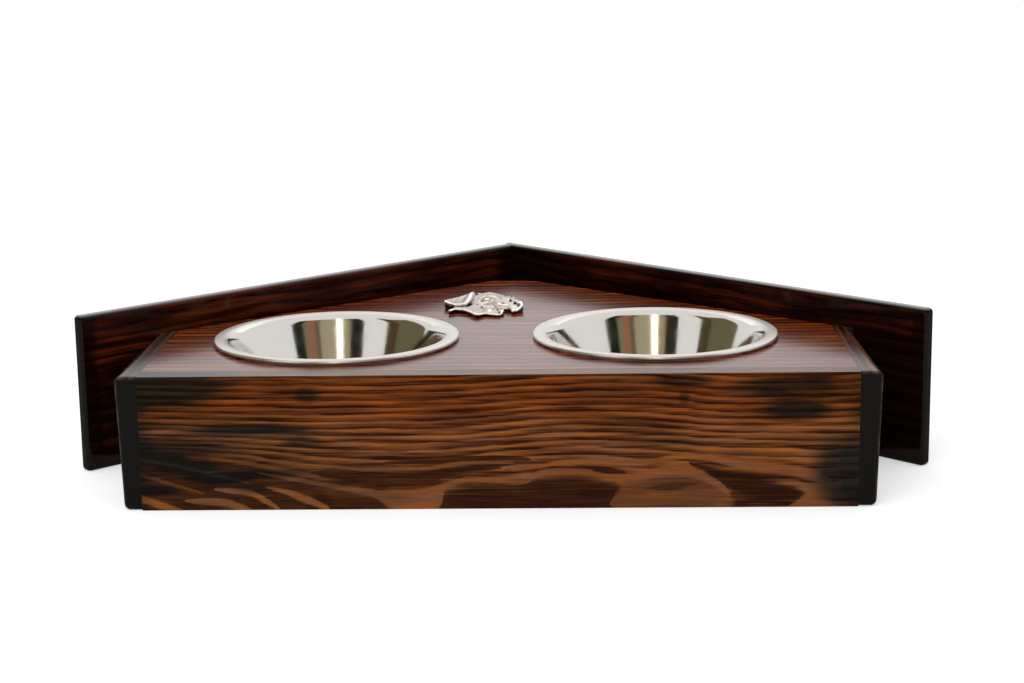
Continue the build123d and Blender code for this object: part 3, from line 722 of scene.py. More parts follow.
for node, name, along, darkening, shared in (
        ("side_board_left", "flamed pine left side", (0, -1, 0), darker_below(76, 83.5, 0.85), SIDE),
        ("side_board_right", "flamed pine right side", (0, 1, 0), darker_below(76, 83.5, 0.6), SIDE),
        ("wall_board_left", "flamed pine left wall board", (1, 1, 0), left_wall_char_and_shade, WALL),
        ("wall_board_right", "flamed pine right wall board", (1, -1, 0), right_wall_char_and_shade, WALL)):
    finish_with(board_material(name, along, UP, ORIGIN, darkening=darkening, **shared), node)
print("six boards finished")

# %% [markdown]
# ## Battens, posts and dowels
#
# Under the top everything is plain: sawn and planed softwood strips, bare, and beech dowels. Only a
# look from below finds them. They use the same growth rings, pale and unburnt, with the soft sheen of
# planed wood. The rear strips and post can be seen down the gap behind the top, so a maker would darken
# them with the boards.

# %% Bare wood
SAWN_RELIEF = 0.05 * MM     # how proud the fibres of planed wood stand


def bare_wood(name, along, across, early, late, spacing):
    """Planed, unfinished wood for a batten, a post or a dowel."""
    material, tree = new_material(name)
    place = board_place(tree, along, across, ORIGIN)
    ring = add_node(tree, "ShaderNodeGroup", {
        "Place": place, "Heart": -40.0, "Spacing": spacing, "Waver": 5.0}, node_tree=rings)
    phase = add_node(tree, "ShaderNodeMath", {0: ring}, operation="FRACT")
    line = add_node(tree, "ShaderNodeMapRange", {
        "Value": phase, "From Min": 0.45, "From Max": 0.92}, interpolation_type="SMOOTHSTEP")
    fibre = grain_noise(tree, place, *FIBRE[:2], 2.0)
    mixed = add_node(tree, "ShaderNodeMath", {0: fibre, 1: 0.5, 2: line}, operation="MULTIPLY_ADD")
    tone = add_node(tree, "ShaderNodeMix", {
        "Factor": mixed, "A": colour(early), "B": colour(late)}, data_type="RGBA")
    height = add_node(tree, "ShaderNodeMath", {0: fibre, 1: SAWN_RELIEF}, operation="MULTIPLY")
    relief = add_node(tree, "ShaderNodeBump", {"Strength": 1.0, "Distance": 1.0, "Height": height})
    shader = add_node(tree, "ShaderNodeBsdfPrincipled", {
        "Base Color": tone, "Roughness": 0.6, "Specular IOR Level": 0.35, "Normal": relief})
    add_node(tree, "ShaderNodeOutputMaterial", {"Surface": shader})
    return material


PINE = ("d9b98a", "b98a54")
BEECH = ("c99f72", "b0804f")
SCORCHED = ("2a1008", "140704")
# Name, along and across the grain, colours, mm between rings, and the nodes that are made of it.
BARE = [
    ("planed pine batten", GRAIN_X, UP, PINE, 3.4, "front_cleat"),
    ("planed pine side batten", (0, 1, 0), UP, PINE, 3.1, "side_cleat_left", "side_cleat_right"),
    ("planed pine post", UP, (1, 0, 0), PINE, 3.0, "corner_post_left", "corner_post_right"),
    ("scorched left rear batten", (1, 1, 0), UP, SCORCHED, 3.6, "rear_cleat_left"),
    ("scorched right rear batten", (1, -1, 0), UP, SCORCHED, 3.6, "rear_cleat_right"),
    ("scorched rear post", UP, (1, 0, 0), SCORCHED, 3.0, "wall_corner_post"),
    ("turned beech dowel", GRAIN_X, UP, BEECH, 1.6, "front_dowels"),
]
for name, along, across, colours, spacing, *wooden in BARE:
    finish_with(bare_wood(name, along, across, *colours, spacing), *wooden)
print("battens, posts and dowels finished")

# %% [markdown]
# ## Steel
#
# The bowls are pressed from thin stainless sheet. Inside they are polished to a mirror. The polishing
# wheel doesn't reach the flange, so it kept its fine ring-shaped scratches. They spread light across
# themselves, which makes the flange bright in front and behind and greyer at the sides. Screws are zinc
# plated, which is bluer and duller. The ornament is cast zinc alloy. Its colour is painted darker in its
# folds as shade, and lighter on its crests and along its rim as highlights. All are metals, so their
# colour is the colour of their reflection, and their roughness decides how sharp it is.

# %% Metal finishes
SATIN_SPREAD = 0.7          # how much more the flange spreads light across its scratches than along them
QUARTER_TURN = 0.25         # from along the scratches to across them


def metal(name, code, roughness, grain, height, brushed_round=False):
    """A bare metal. Its fine relief has so many waves in a mm, and stands so many mm high."""
    material, tree = new_material(name)
    inputs = {"Base Color": colour(code), "Metallic": 1.0}
    if brushed_round:
        inputs["Tangent"] = add_node(tree, "ShaderNodeTangent", direction_type="RADIAL", axis="Z")
        inputs["Anisotropic"] = SATIN_SPREAD
        inputs["Anisotropic Rotation"] = QUARTER_TURN
    place = add_node(tree, "ShaderNodeVectorMath", {
        0: add_node(tree, "ShaderNodeTexCoord").outputs["Object"], "Scale": 1 / MM}, operation="SCALE")
    noise = add_node(tree, "ShaderNodeTexNoise", {"Vector": place, "Scale": grain, "Detail": 2.0})
    ridge = add_node(tree, "ShaderNodeMath", {0: noise, 1: height * MM}, operation="MULTIPLY")
    inputs["Normal"] = add_node(tree, "ShaderNodeBump", {"Strength": 1.0, "Distance": 1.0, "Height": ridge})
    inputs["Roughness"] = add_node(tree, "ShaderNodeMapRange", {
        "Value": noise, "From Min": 0.3, "From Max": 0.7,
        "To Min": roughness * 0.8, "To Max": roughness * 1.25})
    shader = add_node(tree, "ShaderNodeBsdfPrincipled", inputs)
    add_node(tree, "ShaderNodeOutputMaterial", {"Surface": shader})
    return material


polished_steel = metal("polished stainless steel", "d4d2ca", 0.11, 0.12, 0.03)
satin_steel = metal("satin stainless steel", "d8d3cb", 0.34, 1.4, 0.004, brushed_round=True)
zinc_plate = metal("zinc plated steel", "b9bcc0", 0.32, 0.8, 0.01)

FOLD_DEPTHS = (-0.7, -0.08)     # mm below the surroundings: where the painted shade is full, and where it has gone
CREST_HEIGHTS = (0.02, 0.35)    # mm above them: where a painted highlight begins, and where it is full


def metal_with_painted_shade(name, fold, flat, crest):
    """Cast metal with painted shade in its folds and a painted highlight on its crests. The mesh tells it
    how proud each place stands.
    """
    material, tree = new_material(name)
    proud = add_node(tree, "ShaderNodeAttribute", attribute_name="Crest").outputs["Fac"]
    # How far a place is out of the painted shade of the folds, and how far into the painted highlight of
    # the crests.
    out_of_shade, polished = (add_node(tree, "ShaderNodeMapRange", {
        "Value": proud, "From Min": low, "From Max": high}) for low, high in (FOLD_DEPTHS, CREST_HEIGHTS))
    tone = add_node(tree, "ShaderNodeMix", {
        "Factor": out_of_shade, "A": colour(fold), "B": colour(flat)}, data_type="RGBA")
    tone = add_node(tree, "ShaderNodeMix", {
        "Factor": polished, "A": tone, "B": colour(crest)}, data_type="RGBA")
    rough = add_node(tree, "ShaderNodeMapRange", {"Value": out_of_shade, "To Min": 0.5, "To Max": 0.2})
    shader = add_node(tree, "ShaderNodeBsdfPrincipled", {
        "Base Color": tone, "Metallic": 1.0, "Roughness": rough})
    add_node(tree, "ShaderNodeOutputMaterial", {"Surface": shader})
    return material


# The colours are painted shade for the folds, the metal's own grey, and a painted highlight for the crests.
zinc_with_painted_shade = metal_with_painted_shade("cast zinc alloy with painted shade and highlights", "1e1814", "b2aaa0", "faf4ea")
finish_with(zinc_plate, "ornament_pins")
print("metals:", polished_steel.name, satin_steel.name, zinc_plate.name, zinc_with_painted_shade.name)

# %% [markdown]
# ## Bowls
#
# A bowl like this is spun: one profile, turned round an axis. A Screw modifier on a drawn curve would
# do it too, but a node tree keeps the sizes as named inputs, rounds the corners of the profile by their
# real radii and closes the pole and the seam by merging. The tree draws the profile as a few corners,
# fillets it, and lays a grid over it: one side of the grid follows the profile and the other goes
# round.

# %% Tree that turns a profile
FILLET_STEPS = 7            # points on each rounded corner
MERGE = 0.02 * MM           # closer points become one, at the pole and the seam


def turned(tree, corners, segments, centre):
    """Rounds a profile of (radius, height, rounding) corners and turns it round a Z axis at a centre."""
    index = add_node(tree, "GeometryNodeInputIndex")
    place, rounding = (add_node(tree, "GeometryNodeIndexSwitch", {"Index": index}, data_type=kind)
                       for kind in ("VECTOR", "FLOAT"))
    for switch in (place, rounding):
        while len(switch.index_switch_items) < len(corners):
            switch.index_switch_items.new()
    for number, (out, height, radius) in enumerate(corners, 1):
        corner = add_node(tree, "ShaderNodeCombineXYZ", {"X": out, "Z": height})
        plug(tree, place.inputs[number], corner)
        plug(tree, rounding.inputs[number], radius)
    line = add_node(tree, "GeometryNodeMeshLine", {"Count": len(corners)})
    drawn = add_node(tree, "GeometryNodeSetPosition", {"Geometry": line, "Position": place})
    curve = add_node(tree, "GeometryNodeMeshToCurve", {"Mesh": drawn})
    profile = add_node(tree, "GeometryNodeFilletCurve", {
        "Curve": curve, "Count": FILLET_STEPS, "Radius": rounding, "Limit Radius": True}, mode="POLY")
    size = add_node(tree, "GeometryNodeAttributeDomainSize", {"Geometry": profile}, component="CURVE")
    around = add_node(tree, "ShaderNodeMath", {0: segments, 1: 1}, operation="ADD")
    grid = add_node(tree, "GeometryNodeMeshGrid", {
        "Vertices X": size.outputs["Point Count"], "Vertices Y": around})
    row = add_node(tree, "ShaderNodeMath", {0: index, 1: around}, operation="DIVIDE")
    row = add_node(tree, "ShaderNodeMath", {0: row}, operation="FLOOR")
    column = add_node(tree, "ShaderNodeMath", {0: index, 1: around}, operation="MODULO")
    angle = add_node(tree, "ShaderNodeMath", {0: column, 1: 2 * math.pi}, operation="MULTIPLY")
    angle = add_node(tree, "ShaderNodeMath", {0: angle, 1: segments}, operation="DIVIDE")
    sample = add_node(tree, "GeometryNodeSampleIndex", {
        "Geometry": profile, "Value": add_node(tree, "GeometryNodeInputPosition"), "Index": row},
        data_type="FLOAT_VECTOR")
    spun = add_node(tree, "ShaderNodeVectorRotate", {
        "Vector": sample, "Angle": angle}, rotation_type="Z_AXIS")
    moved = add_node(tree, "ShaderNodeVectorMath", {0: spun, 1: centre}, operation="ADD")
    shell = add_node(tree, "GeometryNodeSetPosition", {"Geometry": grid, "Position": moved})
    closed = add_node(tree, "GeometryNodeMergeByDistance", {"Geometry": shell, "Distance": MERGE})
    return add_node(tree, "GeometryNodeSetShadeSmooth", {"Geometry": closed})


print("a rounded corner gets", FILLET_STEPS, "points")

# %% Tree of a bowl
BOWL_INPUTS = {"Opening Radius": 0.0695, "Rim Radius": 0.080, "Floor Radius": 0.052, "Rim Height": 0.0873,
               "Depth": 0.050, "Sheet": 0.0008, "Bead": 0.003, "Floor Corner": 0.016, "Bend": 0.0075}
# Sizes that follow from the inputs. The polish ends just outside the opening.
BOWL_SIZES = [
    ("bottom", "Rim Height", "SUBTRACT", "Depth"), ("under rim", "Rim Height", "SUBTRACT", "Sheet"),
    ("bead low", "Rim Height", "SUBTRACT", "Bead"), ("bead in", "Rim Radius", "SUBTRACT", "Bead"),
    ("half bead", "Bead", "MULTIPLY", 0.49), ("opening under", "Opening Radius", "ADD", "Sheet"),
    ("base under", "Floor Radius", "ADD", "Sheet"), ("bottom under", "bottom", "SUBTRACT", "Sheet"),
    ("polish end", "Opening Radius", "ADD", 0.0012),
]
# Radius, height and rounding, from the middle of the floor over the rim and back under the sheet.
BOWL_PROFILE = [
    (0.0, "bottom", 0.0), ("Floor Radius", "bottom", "Floor Corner"),
    ("Opening Radius", "Rim Height", "Bend"),
    ("Rim Radius", "Rim Height", "half bead"), ("Rim Radius", "bead low", "half bead"),
    ("bead in", "bead low", "half bead"), ("bead in", "under rim", 0.0),
    ("opening under", "under rim", "Bend"), ("base under", "bottom under", "Floor Corner"),
    (0.0, "bottom under", 0.0),
]
bowl_tree, sockets = new_group("spun bowl", "GeometryNodeTree", [
    ("Geometry", "NodeSocketGeometry", None), ("Centre", "NodeSocketVector", None),
    ("Segments", "NodeSocketInt", 160), ("Polished", "NodeSocketMaterial", None),
    ("Satin", "NodeSocketMaterial", None),
    *[(title, "NodeSocketFloat", value) for title, value in BOWL_INPUTS.items()]],
    [("Geometry", "NodeSocketGeometry")])
sizes = {title: sockets[title] for title in BOWL_INPUTS}
for title, first, operation, second in BOWL_SIZES:
    sizes[title] = add_node(bowl_tree, "ShaderNodeMath", {
        0: sizes[first], 1: sizes.get(second, second)}, operation=operation)
corners = [[sizes.get(value, value) for value in corner] for corner in BOWL_PROFILE]
shell = turned(bowl_tree, corners, sockets["Segments"], sockets["Centre"])
offset = add_node(bowl_tree, "ShaderNodeVectorMath", {
    0: add_node(bowl_tree, "GeometryNodeInputPosition"), 1: sockets["Centre"]}, operation="SUBTRACT")
offset = add_node(bowl_tree, "ShaderNodeVectorMath", {0: offset, 1: (1.0, 1.0, 0.0)}, operation="MULTIPLY")
from_axis = add_node(bowl_tree, "ShaderNodeVectorMath", {0: offset}, operation="LENGTH").outputs["Value"]
on_flange = add_node(bowl_tree, "ShaderNodeMath", {
    0: from_axis, 1: sizes["polish end"]}, operation="GREATER_THAN")
solid = add_node(bowl_tree, "GeometryNodeRealizeInstances", {"Geometry": shell})
bright = add_node(bowl_tree, "GeometryNodeSetMaterial", {
    "Geometry": solid, "Material": sockets["Polished"]})
satin = add_node(bowl_tree, "GeometryNodeSetMaterial", {
    "Geometry": bright, "Selection": on_flange, "Material": sockets["Satin"]})
add_node(bowl_tree, "NodeGroupOutput", {"Geometry": satin})
print("spun bowl:", len(bowl_tree.nodes), "nodes")

# %% [markdown]
# A tree's result only lives on its modifier. The next helper runs a tree once with given inputs, copies
# the evaluated result into a plain mesh at the origin and drops the helper object, so what moves with
# the bodies is an ordinary mesh.

# %% Run a tree and keep its mesh
def made_by(tree, name, values, start=None):
    """A plain mesh object made by a geometry tree. The values go in by the sockets' identifiers."""
    carrier = add_object(name + " maker", start or bpy.data.meshes.new(name))
    modifier = carrier.modifiers.new("tree", "NODES")
    modifier.node_group = tree
    for item in tree.interface.items_tree:
        if item.in_out == "INPUT" and item.name in values:
            modifier[item.identifier] = values[item.name]
    bpy.context.view_layer.update()
    mesh = bpy.data.meshes.new_from_object(carrier.evaluated_get(bpy.context.evaluated_depsgraph_get()))
    mesh.name = name
    bpy.data.objects.remove(carrier)
    return add_object(name, mesh)


def stand_in(piece, body, node):
    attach(piece, body)
    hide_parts(node)
    print(piece.name, len(piece.data.polygons), "faces")


for side in ("left", "right"):
    low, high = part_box(f"bowl_{side}")
    middle = (low + high) / 2
    piece = made_by(bowl_tree, f"spun_bowl_{side}", {
        "Centre": (middle.x, middle.y, 0.0), "Polished": polished_steel, "Satin": satin_steel,
        "Rim Height": high.z})
    stand_in(piece, f"{side}_bowl", f"bowl_{side}")

# %% [markdown]
# ## Dog's head
#
# The ornament is a cast dog's head in profile, about as long as a thumb: ear swept back, brow, muzzle
# and an open mouth that is cut right through. A sculptor sets the high and low points first and then
# joins them, so the head is built that way here. Named heights stand on a plan of the head, creases tie
# some of them together, flat facets join them all, and the facets are softened over half a millimetre,
# as casting and polishing would. The eye, nostril and folds are short rolls and grooves on top. The
# back is flat.

# %% Heights of the dog's head
# Plan and height in mm, from the eye. The outline runs clockwise from the tip of the ear.
HEAD_OUTLINE = [
    (-31.5, 7, 5.2), (-26.5, 13, 5.4), (-20.5, 17, 5.8), (-10.5, 24, 8.2), (-4.5, 23, 7.2),
    (1.5, 21, 8.4), (13.5, 14, 6.8), (18.5, 11, 6.8), (22.5, 5, 5.8), (25.5, -2, 5.0), (26, -8, 4.7),
    (24, -13, 3.7), (21.5, -19, 2.8), (17.5, -20.5, 2.5), (16.5, -12, 2.7), (5.5, -7.6, 2.8),
    (6, -12.2, 2.4), (13, -17, 2.6), (11.5, -26, 2.4), (9.5, -30.5, 2.1), (-0.5, -26, 2.4),
    (-4.5, -32, 2.8), (-7.5, -31.5, 2.8), (-11.5, -22, 3.0), (-16.5, -15.5, 3.0), (-21.5, -13.5, 3.3),
    (-24.7, -19.6, 3.2), (-26.6, -18.2, 3.2), (-24.2, -11, 2.9), (-22, -5, 3.0), (-25.5, -2, 4.6),
]
EAR_RIDGE = [(-11.5, 19, 8.9), (-12, 12, 8.4), (-12.6, 6, 7.0), (-14.5, -1, 5.2), (-18.9, -4.2, 4.7)]
BEHIND_EAR = [(-8.5, 19, 6.6), (-9.6, 12, 6.2), (-10.6, 6, 4.6), (-12.4, 1.2, 2.9), (-13.5, -4, 3.0),
    (-18.6, -6.4, 3.5)]
BROW_LINE = [(-5, 3.5, 7.6), (-2, 5, 8.7), (1.5, 5.2, 8.9), (4.5, 4, 8.8)]
MUZZLE_RIDGE = [(4.5, 4, 8.8), (10, 6.5, 7.4), (15.5, 4, 6.7), (20, 1.5, 6.4), (22.5, -2.5, 6.0)]
LIP = [(4, -6.5, 4.2), (10, -7, 3.9), (15.5, -9.5, 3.9), (18.5, -13.5, 3.8)]
CREASES = [EAR_RIDGE, BEHIND_EAR, BROW_LINE, MUZZLE_RIDGE, LIP]
HEIGHTS = [
    (-22, 9, 4.8), (-17, 12, 5.2), (-17, 4, 4.6), (-24, 3, 4.4), (-15, 19.5, 7.0), (-27, 5, 5.4),
    (-5, 17, 7.2), (1, 13, 8.0), (7, 12, 7.5), (-4, 9, 7.4), (-1.4, 1.6, 7.2), (3, 0.5, 7.4),
    (-6, -2, 5.6), (0, -5, 6.4), (6, -2, 6.3), (11, 0, 5.9), (15, -1.5, 5.6), (14, -5.5, 4.8),
    (18.5, -6, 5.4), (22.5, -8, 5.3), (20.5, -12, 4.4), (19, -17, 3.4), (-9, -4, 4.5), (-8, -11, 4.3),
    (-3.5, -9, 4.6), (-1, -13.5, 3.6), (-13, -10, 3.3), (-18, -10, 3.4), (-22, -15, 3.6),
    (-6, -18, 4.2), (-7, -26, 3.5), (-1, -20, 3.1), (4, -15, 4.0), (8, -15.5, 3.5), (9, -21, 3.6),
    (5, -24, 2.8), (-12, -16, 3.6),
]
# Start and end of each fold or roll, its half width, and its height: below nought it is a groove.
DETAILS = [
    (-0.9, -0.6, 0.2, -0.6, 1.4, 1.0), (-3.6, -0.8, -1.2, 1.8, 0.7, -0.7),
    (-1.2, 1.8, 2.4, 0.4, 0.7, -0.7), (-3.0, -2.2, 1.6, -2.8, 0.8, -0.7),
    (19.2, -3.8, 20.2, -7.6, 0.9, -1.9), (18.0, -5.6, 18.4, -3.6, 0.6, 0.8),
    (16.6, -1.2, 16.2, 2.4, 0.8, -1.3), (15.2, -0.6, 15.0, 2.0, 0.5, 0.7),
    (21.9, -11.2, 22.5, -7.6, 0.8, -1.2), (16.0, 8.4, 17.2, 11.4, 0.7, -1.2),
    (12.0, 11.0, 12.8, 14.0, 0.7, -0.9), (19.4, 4.6, 20.4, 8.2, 0.7, -0.9),
    (22.0, -0.4, 22.8, 2.8, 0.7, -0.7), (23.8, -7.0, 24.0, -3.0, 1.3, 0.5),
    (-3.4, -12.0, -2.4, -15.0, 0.8, -0.8), (4.8, -13.4, 4.4, -17.6, 0.8, -1.2),
    (7.6, -16.4, 8.0, -21.0, 0.7, -1.0), (2.8, -18.0, 2.6, -22.4, 1.2, 0.4),
    (11.7, -18.0, 11.2, -23.4, 0.7, 0.6), (9.2, -23.0, 9.4, -27.2, 0.7, -0.8),
    (-12.0, -0.4, -13.0, -4.4, 1.5, -1.6), (-13.0, -4.4, -18.6, -6.6, 1.1, -1.1),
    (-18.6, -6.6, -22.0, -6.2, 0.8, -0.8), (-8.0, 19.6, -8.6, 23.4, 0.8, -1.2),
    (-16.0, 14.0, -18.2, 3.0, 0.9, -0.28), (-21.0, 12.6, -22.8, 3.4, 0.9, -0.28),
    (-25.4, 8.6, -26.6, 3.4, 0.9, -0.28), (-9.0, -8.8, -13.4, -14.4, 1.0, -0.25),
    (-5.4, -14.8, -8.4, -25.0, 1.0, -0.25), (-1.0, -17.4, -2.4, -24.6, 1.0, -0.25),
    (-16.4, -9.0, -20.6, -12.2, 0.9, -0.25), (-6.9, -4.8, -6.4, -7.6, 0.9, -0.4),
    (-6.6, 2.0, -5.2, 6.8, 0.9, -0.5), (8.6, -5.3, 13.8, -7.3, 0.7, 0.6),
    (11.0, -3.4, 12.2, -5.4, 0.6, -0.7), (5.6, 7.2, 9.8, 3.4, 0.9, -0.4),
]
print(len(HEAD_OUTLINE), "points on the outline,", len(HEIGHTS), "heights,", len(DETAILS), "details")

# %% Softened facets, folds and rolls
NET = 0.6                   # mm between the points of the net
SOFTEN = 0.6                # mm over which facets blend
CORNER_CUT = 0.15           # share of each side that is cut off at its ends to round a corner
RIM_ROUND = 0.9             # mm over which the rim rounds off
RIM_DROP = 0.7
RIM_HIGHLIGHT = 0.5             # how strongly, and how far in from the rim, a painted highlight lightens it
RIM_HIGHLIGHT_WIDE = 1.6
RIM_STEP = 0.7              # mm between points along the rim
UNDERCUT = 0.8              # mm by which the foot stands back under the rim
FOLD = 1.8                  # mm over which a crest or a fold is told from its surroundings
NEAR = 0.0001               # mm, closer points are taken as one


def rounded_outline(points):
    """The outline with its corners cut off twice, then with points evenly spaced along it."""
    points = np.array(points, dtype=float)
    for _ in range(2):
        following = np.roll(points, -1, axis=0)
        points = np.stack([points * (1 - CORNER_CUT) + following * CORNER_CUT,
                           points * CORNER_CUT + following * (1 - CORNER_CUT)], axis=1).reshape(-1, 2)
    closed = np.vstack([points, points[:1]])
    along = np.concatenate([[0.0], np.cumsum(np.linalg.norm(np.diff(closed, axis=0), axis=1))])
    even = np.linspace(0.0, along[-1], round(along[-1] / RIM_STEP), endpoint=False)
    return np.stack([np.interp(even, along, closed[:, axis]) for axis in (0, 1)], axis=1)


def faceted(places):
    """Heights over places in plan, read from flat facets that join the named points."""
    named = HEAD_OUTLINE + [point for crease in CREASES for point in crease] + HEIGHTS
    count = len(HEAD_OUTLINE)
    edges = [(index, (index + 1) % count) for index in range(count)]
    for crease in CREASES:
        edges += [(count + index, count + index + 1) for index in range(len(crease) - 1)]
        count += len(crease)
    plan = [Vector(point[:2]) for point in named]
    verts, _, faces, origins, *_ = delaunay_2d_cdt(plan, edges, [], 0, NEAR)
    heights = np.array([np.mean([named[i][2] for i in origin]) if origin else 4.0 for origin in origins])
    corners = np.array([[verts[i][:2] for i in face] for face in faces])
    first, second, third = corners[:, None, 0], corners[:, None, 1], corners[:, None, 2]
    away = places[None] - first

    def cross(one, other):
        return one[..., 0] * other[..., 1] - one[..., 1] * other[..., 0]

    area = cross(second - first, third - first)
    share_b = cross(away, third - first) / area
    share_c = cross(second - first, away) / area
    shares = np.stack([1 - share_b - share_c, share_b, share_c], axis=-1)
    best = shares.min(axis=-1).argmax(axis=0)
    shares = np.clip(shares[best, np.arange(len(places))], 0, None)
    shares /= shares.sum(axis=-1, keepdims=True)
    return (shares * heights[np.array(faces)[best]]).sum(axis=-1)


def relief_heights(places, to_rim):
    """The finished surface over places in plan, and how far each place stands proud of what is round it,
    with a painted highlight added along the rim.
    """
    def blended(reach):
        turns = np.arange(6) * math.pi / 3
        ring = reach * np.stack([np.cos(turns), np.sin(turns)], axis=1)
        return np.mean([faceted(places + step) for step in np.vstack([[(0.0, 0.0)], ring])], axis=0)

    heights = blended(SOFTEN)
    crests = heights - blended(FOLD)
    for ax, ay, bx, by, half, top in DETAILS:
        start, span = np.array((ax, ay)), np.array((bx - ax, by - ay))
        share = np.clip((places - start) @ span / (span @ span), 0, 1)
        off = places - start - share[:, None] * span
        bump = top * np.exp(-(off ** 2).sum(axis=-1) / half ** 2)
        heights += bump
        crests += bump
    # A painted highlight along the rim.
    crests += RIM_HIGHLIGHT * np.clip(1 - to_rim / RIM_HIGHLIGHT_WIDE, 0, 1)
    rim = np.clip(1 - to_rim / RIM_ROUND, 0, 1)
    return heights - RIM_DROP * (1 - np.sqrt(1 - rim ** 2)), crests


print("facets blend over", SOFTEN, "mm and the rim rounds off over", RIM_ROUND, "mm")

# %% [markdown]
# The heights are laid on a fine net of triangles that follows the outline exactly. A flat back and a
# wall round the rim close it, so the mesh is a solid that could be printed.

# %% Dog's head in relief
EYE_OFFSET = np.array((31.5, 32.0))     # mm, the eye from the lowest corner of the model's head
RIM_REACH = 4               # points either side from which the rim's direction is taken
FOOT_SHADE = -2.0           # mm, the foot counts as a deep fold, so painted shade darkens the wall under the rim
SMOOTH_ABOVE = 0.2          # upward share of a face's direction from which it is shaded smooth


def dog_head():
    """The closed mesh of the head, standing on the top panel."""
    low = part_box("dog_head_ornament")[0]
    eye = np.array(low[:2]) / MM + EYE_OFFSET
    outline = rounded_outline([point[:2] for point in HEAD_OUTLINE])
    columns, lines = (range(math.floor(min(line) / NET), math.ceil(max(line) / NET) + 1)
                      for line in outline.T)
    grid = np.array([(x * NET, y * NET) for x in columns for y in lines])
    starts, ends = outline, np.roll(outline, -1, axis=0)

    def to_rim(places):
        span = ends - starts
        share = ((places[:, None] - starts) * span).sum(-1) / (span ** 2).sum(-1)
        nearest = starts + np.clip(share, 0, 1)[..., None] * span
        return np.sqrt(((places[:, None] - nearest) ** 2).sum(-1)).min(axis=1)

    def inside(places):
        above = (starts[:, 1] > places[:, None, 1]) != (ends[:, 1] > places[:, None, 1])
        rise = np.where(ends[:, 1] == starts[:, 1], 1e-9, ends[:, 1] - starts[:, 1])
        crossing = (ends[:, 0] - starts[:, 0]) * (places[:, None, 1] - starts[:, 1]) / rise + starts[:, 0]
        return (above & (places[:, None, 0] < crossing)).sum(axis=1) % 2 == 1

    kept = grid[inside(grid) & (to_rim(grid) > NET * 0.5)]
    points = [Vector(point) for point in np.vstack([outline, kept])]
    edges = [(index, (index + 1) % len(outline)) for index in range(len(outline))]
    verts, _, faces, *_ = delaunay_2d_cdt(points, edges, [], 1, NEAR)
    plan = np.array([vert[:2] for vert in verts])
    heights, crests = relief_heights(plan, to_rim(plan))
    tangent = np.roll(outline, -RIM_REACH, axis=0) - np.roll(outline, RIM_REACH, axis=0)
    inwards = np.stack([tangent[:, 1], -tangent[:, 0]], axis=1) / np.linalg.norm(tangent, axis=1)[:, None]
    foot = [Vector(point) for point in outline + inwards * UNDERCUT]
    foot_verts, _, foot_faces, *_ = delaunay_2d_cdt(foot, edges, [], 1, NEAR)
    surface = [(x * MM, y * MM, low.z + height * MM) for (x, y), height in zip(plan + eye, heights)]
    surface += [((x + eye[0]) * MM, (y + eye[1]) * MM, low.z) for x, y in foot_verts]
    count = len(plan)
    rim_faces = [(a + count, b + count, b, a) for a, b in edges]
    faces += [[i + count for i in reversed(face)] for face in foot_faces] + rim_faces
    mesh = new_mesh("dog_head", surface, faces, zinc_with_painted_shade)
    # The foot's low value paints shade on the wall under the rim.
    crests = np.concatenate([crests, np.full(len(foot_verts), FOOT_SHADE)])
    shading_attribute = mesh.attributes.new("Crest", "FLOAT", "POINT")
    shading_attribute.data.foreach_set("value", crests.astype(np.float32))
    work = bmesh.new()
    work.from_mesh(mesh)
    bmesh.ops.delete(work, geom=[v for v in work.verts if not v.link_faces], context="VERTS")
    bmesh.ops.recalc_face_normals(work, faces=work.faces)
    for face in work.faces:
        face.smooth = face.normal.z > SMOOTH_ABOVE
    work.to_mesh(mesh)
    work.free()
    return add_object("dog_head", mesh)


ornament = dog_head()
stand_in(ornament, "feeder", "dog_head_ornament")
print("its crests reach", round(max(vert.co.z for vert in ornament.data.vertices) / MM, 1), "mm")

# %% [markdown]
# ## Screws
#
# Countersunk screws hold the battens and the wall boards. They are all alike but for their length, so
# one tree turns a screw profile, cuts a cross recess in its head and puts a copy on every point that it
# is given. The points are where the model has its screws: each loose part of a screw node gives a head,
# a direction and a length.

# %% Where the screws are
HEAD_DEPTH = 0.4 * MM       # points of a screw this close to its farthest one are its head


def screw_places(node):
    """Head, direction and length in whole mm of each screw, from a merged copy of a CAD node's mesh."""
    work = bmesh.new()
    work.from_mesh(nodes[node].data)
    bmesh.ops.remove_doubles(work, verts=work.verts, dist=1e-6)
    waiting, places = set(work.verts), []
    for first in work.verts:
        if first not in waiting:
            continue
        waiting.discard(first)
        stack, part = [first], []
        while stack:
            vert = stack.pop()
            part.append(vert.co.copy())
            for edge in vert.link_edges:
                other = edge.other_vert(vert)
                if other in waiting:
                    waiting.discard(other)
                    stack.append(other)
        middle = sum(part, Vector()) / len(part)
        tip = max(part, key=lambda co: (co - middle).length)
        reach = max((co - tip).length for co in part)
        head = [co for co in part if (co - tip).length > reach - HEAD_DEPTH]
        head = sum(head, Vector()) / len(head)
        places.append((head, (tip - head).normalized(), round((tip - head).length / MM)))
    work.free()
    return places


SCREW_NODES = ("top_panel_screws", "cleat_screws", "wall_board_screws")
places = {node: screw_places(node) for node in SCREW_NODES}
for node, found in places.items():
    print(node, "has", len(found), "screws,", sorted({length for *_, length in found}), "mm long")

# %% Tree that turns and places screws
HEAD_EDGE = 0.2 * MM        # the upright edge of a head, rounded above and below
RECESS_WIDTH = 0.8 * MM     # how wide one arm of the cross is
RECESS_SPAN = 1.15          # how long the cross is, in radii of the head
SCREW_SEGMENTS = 24

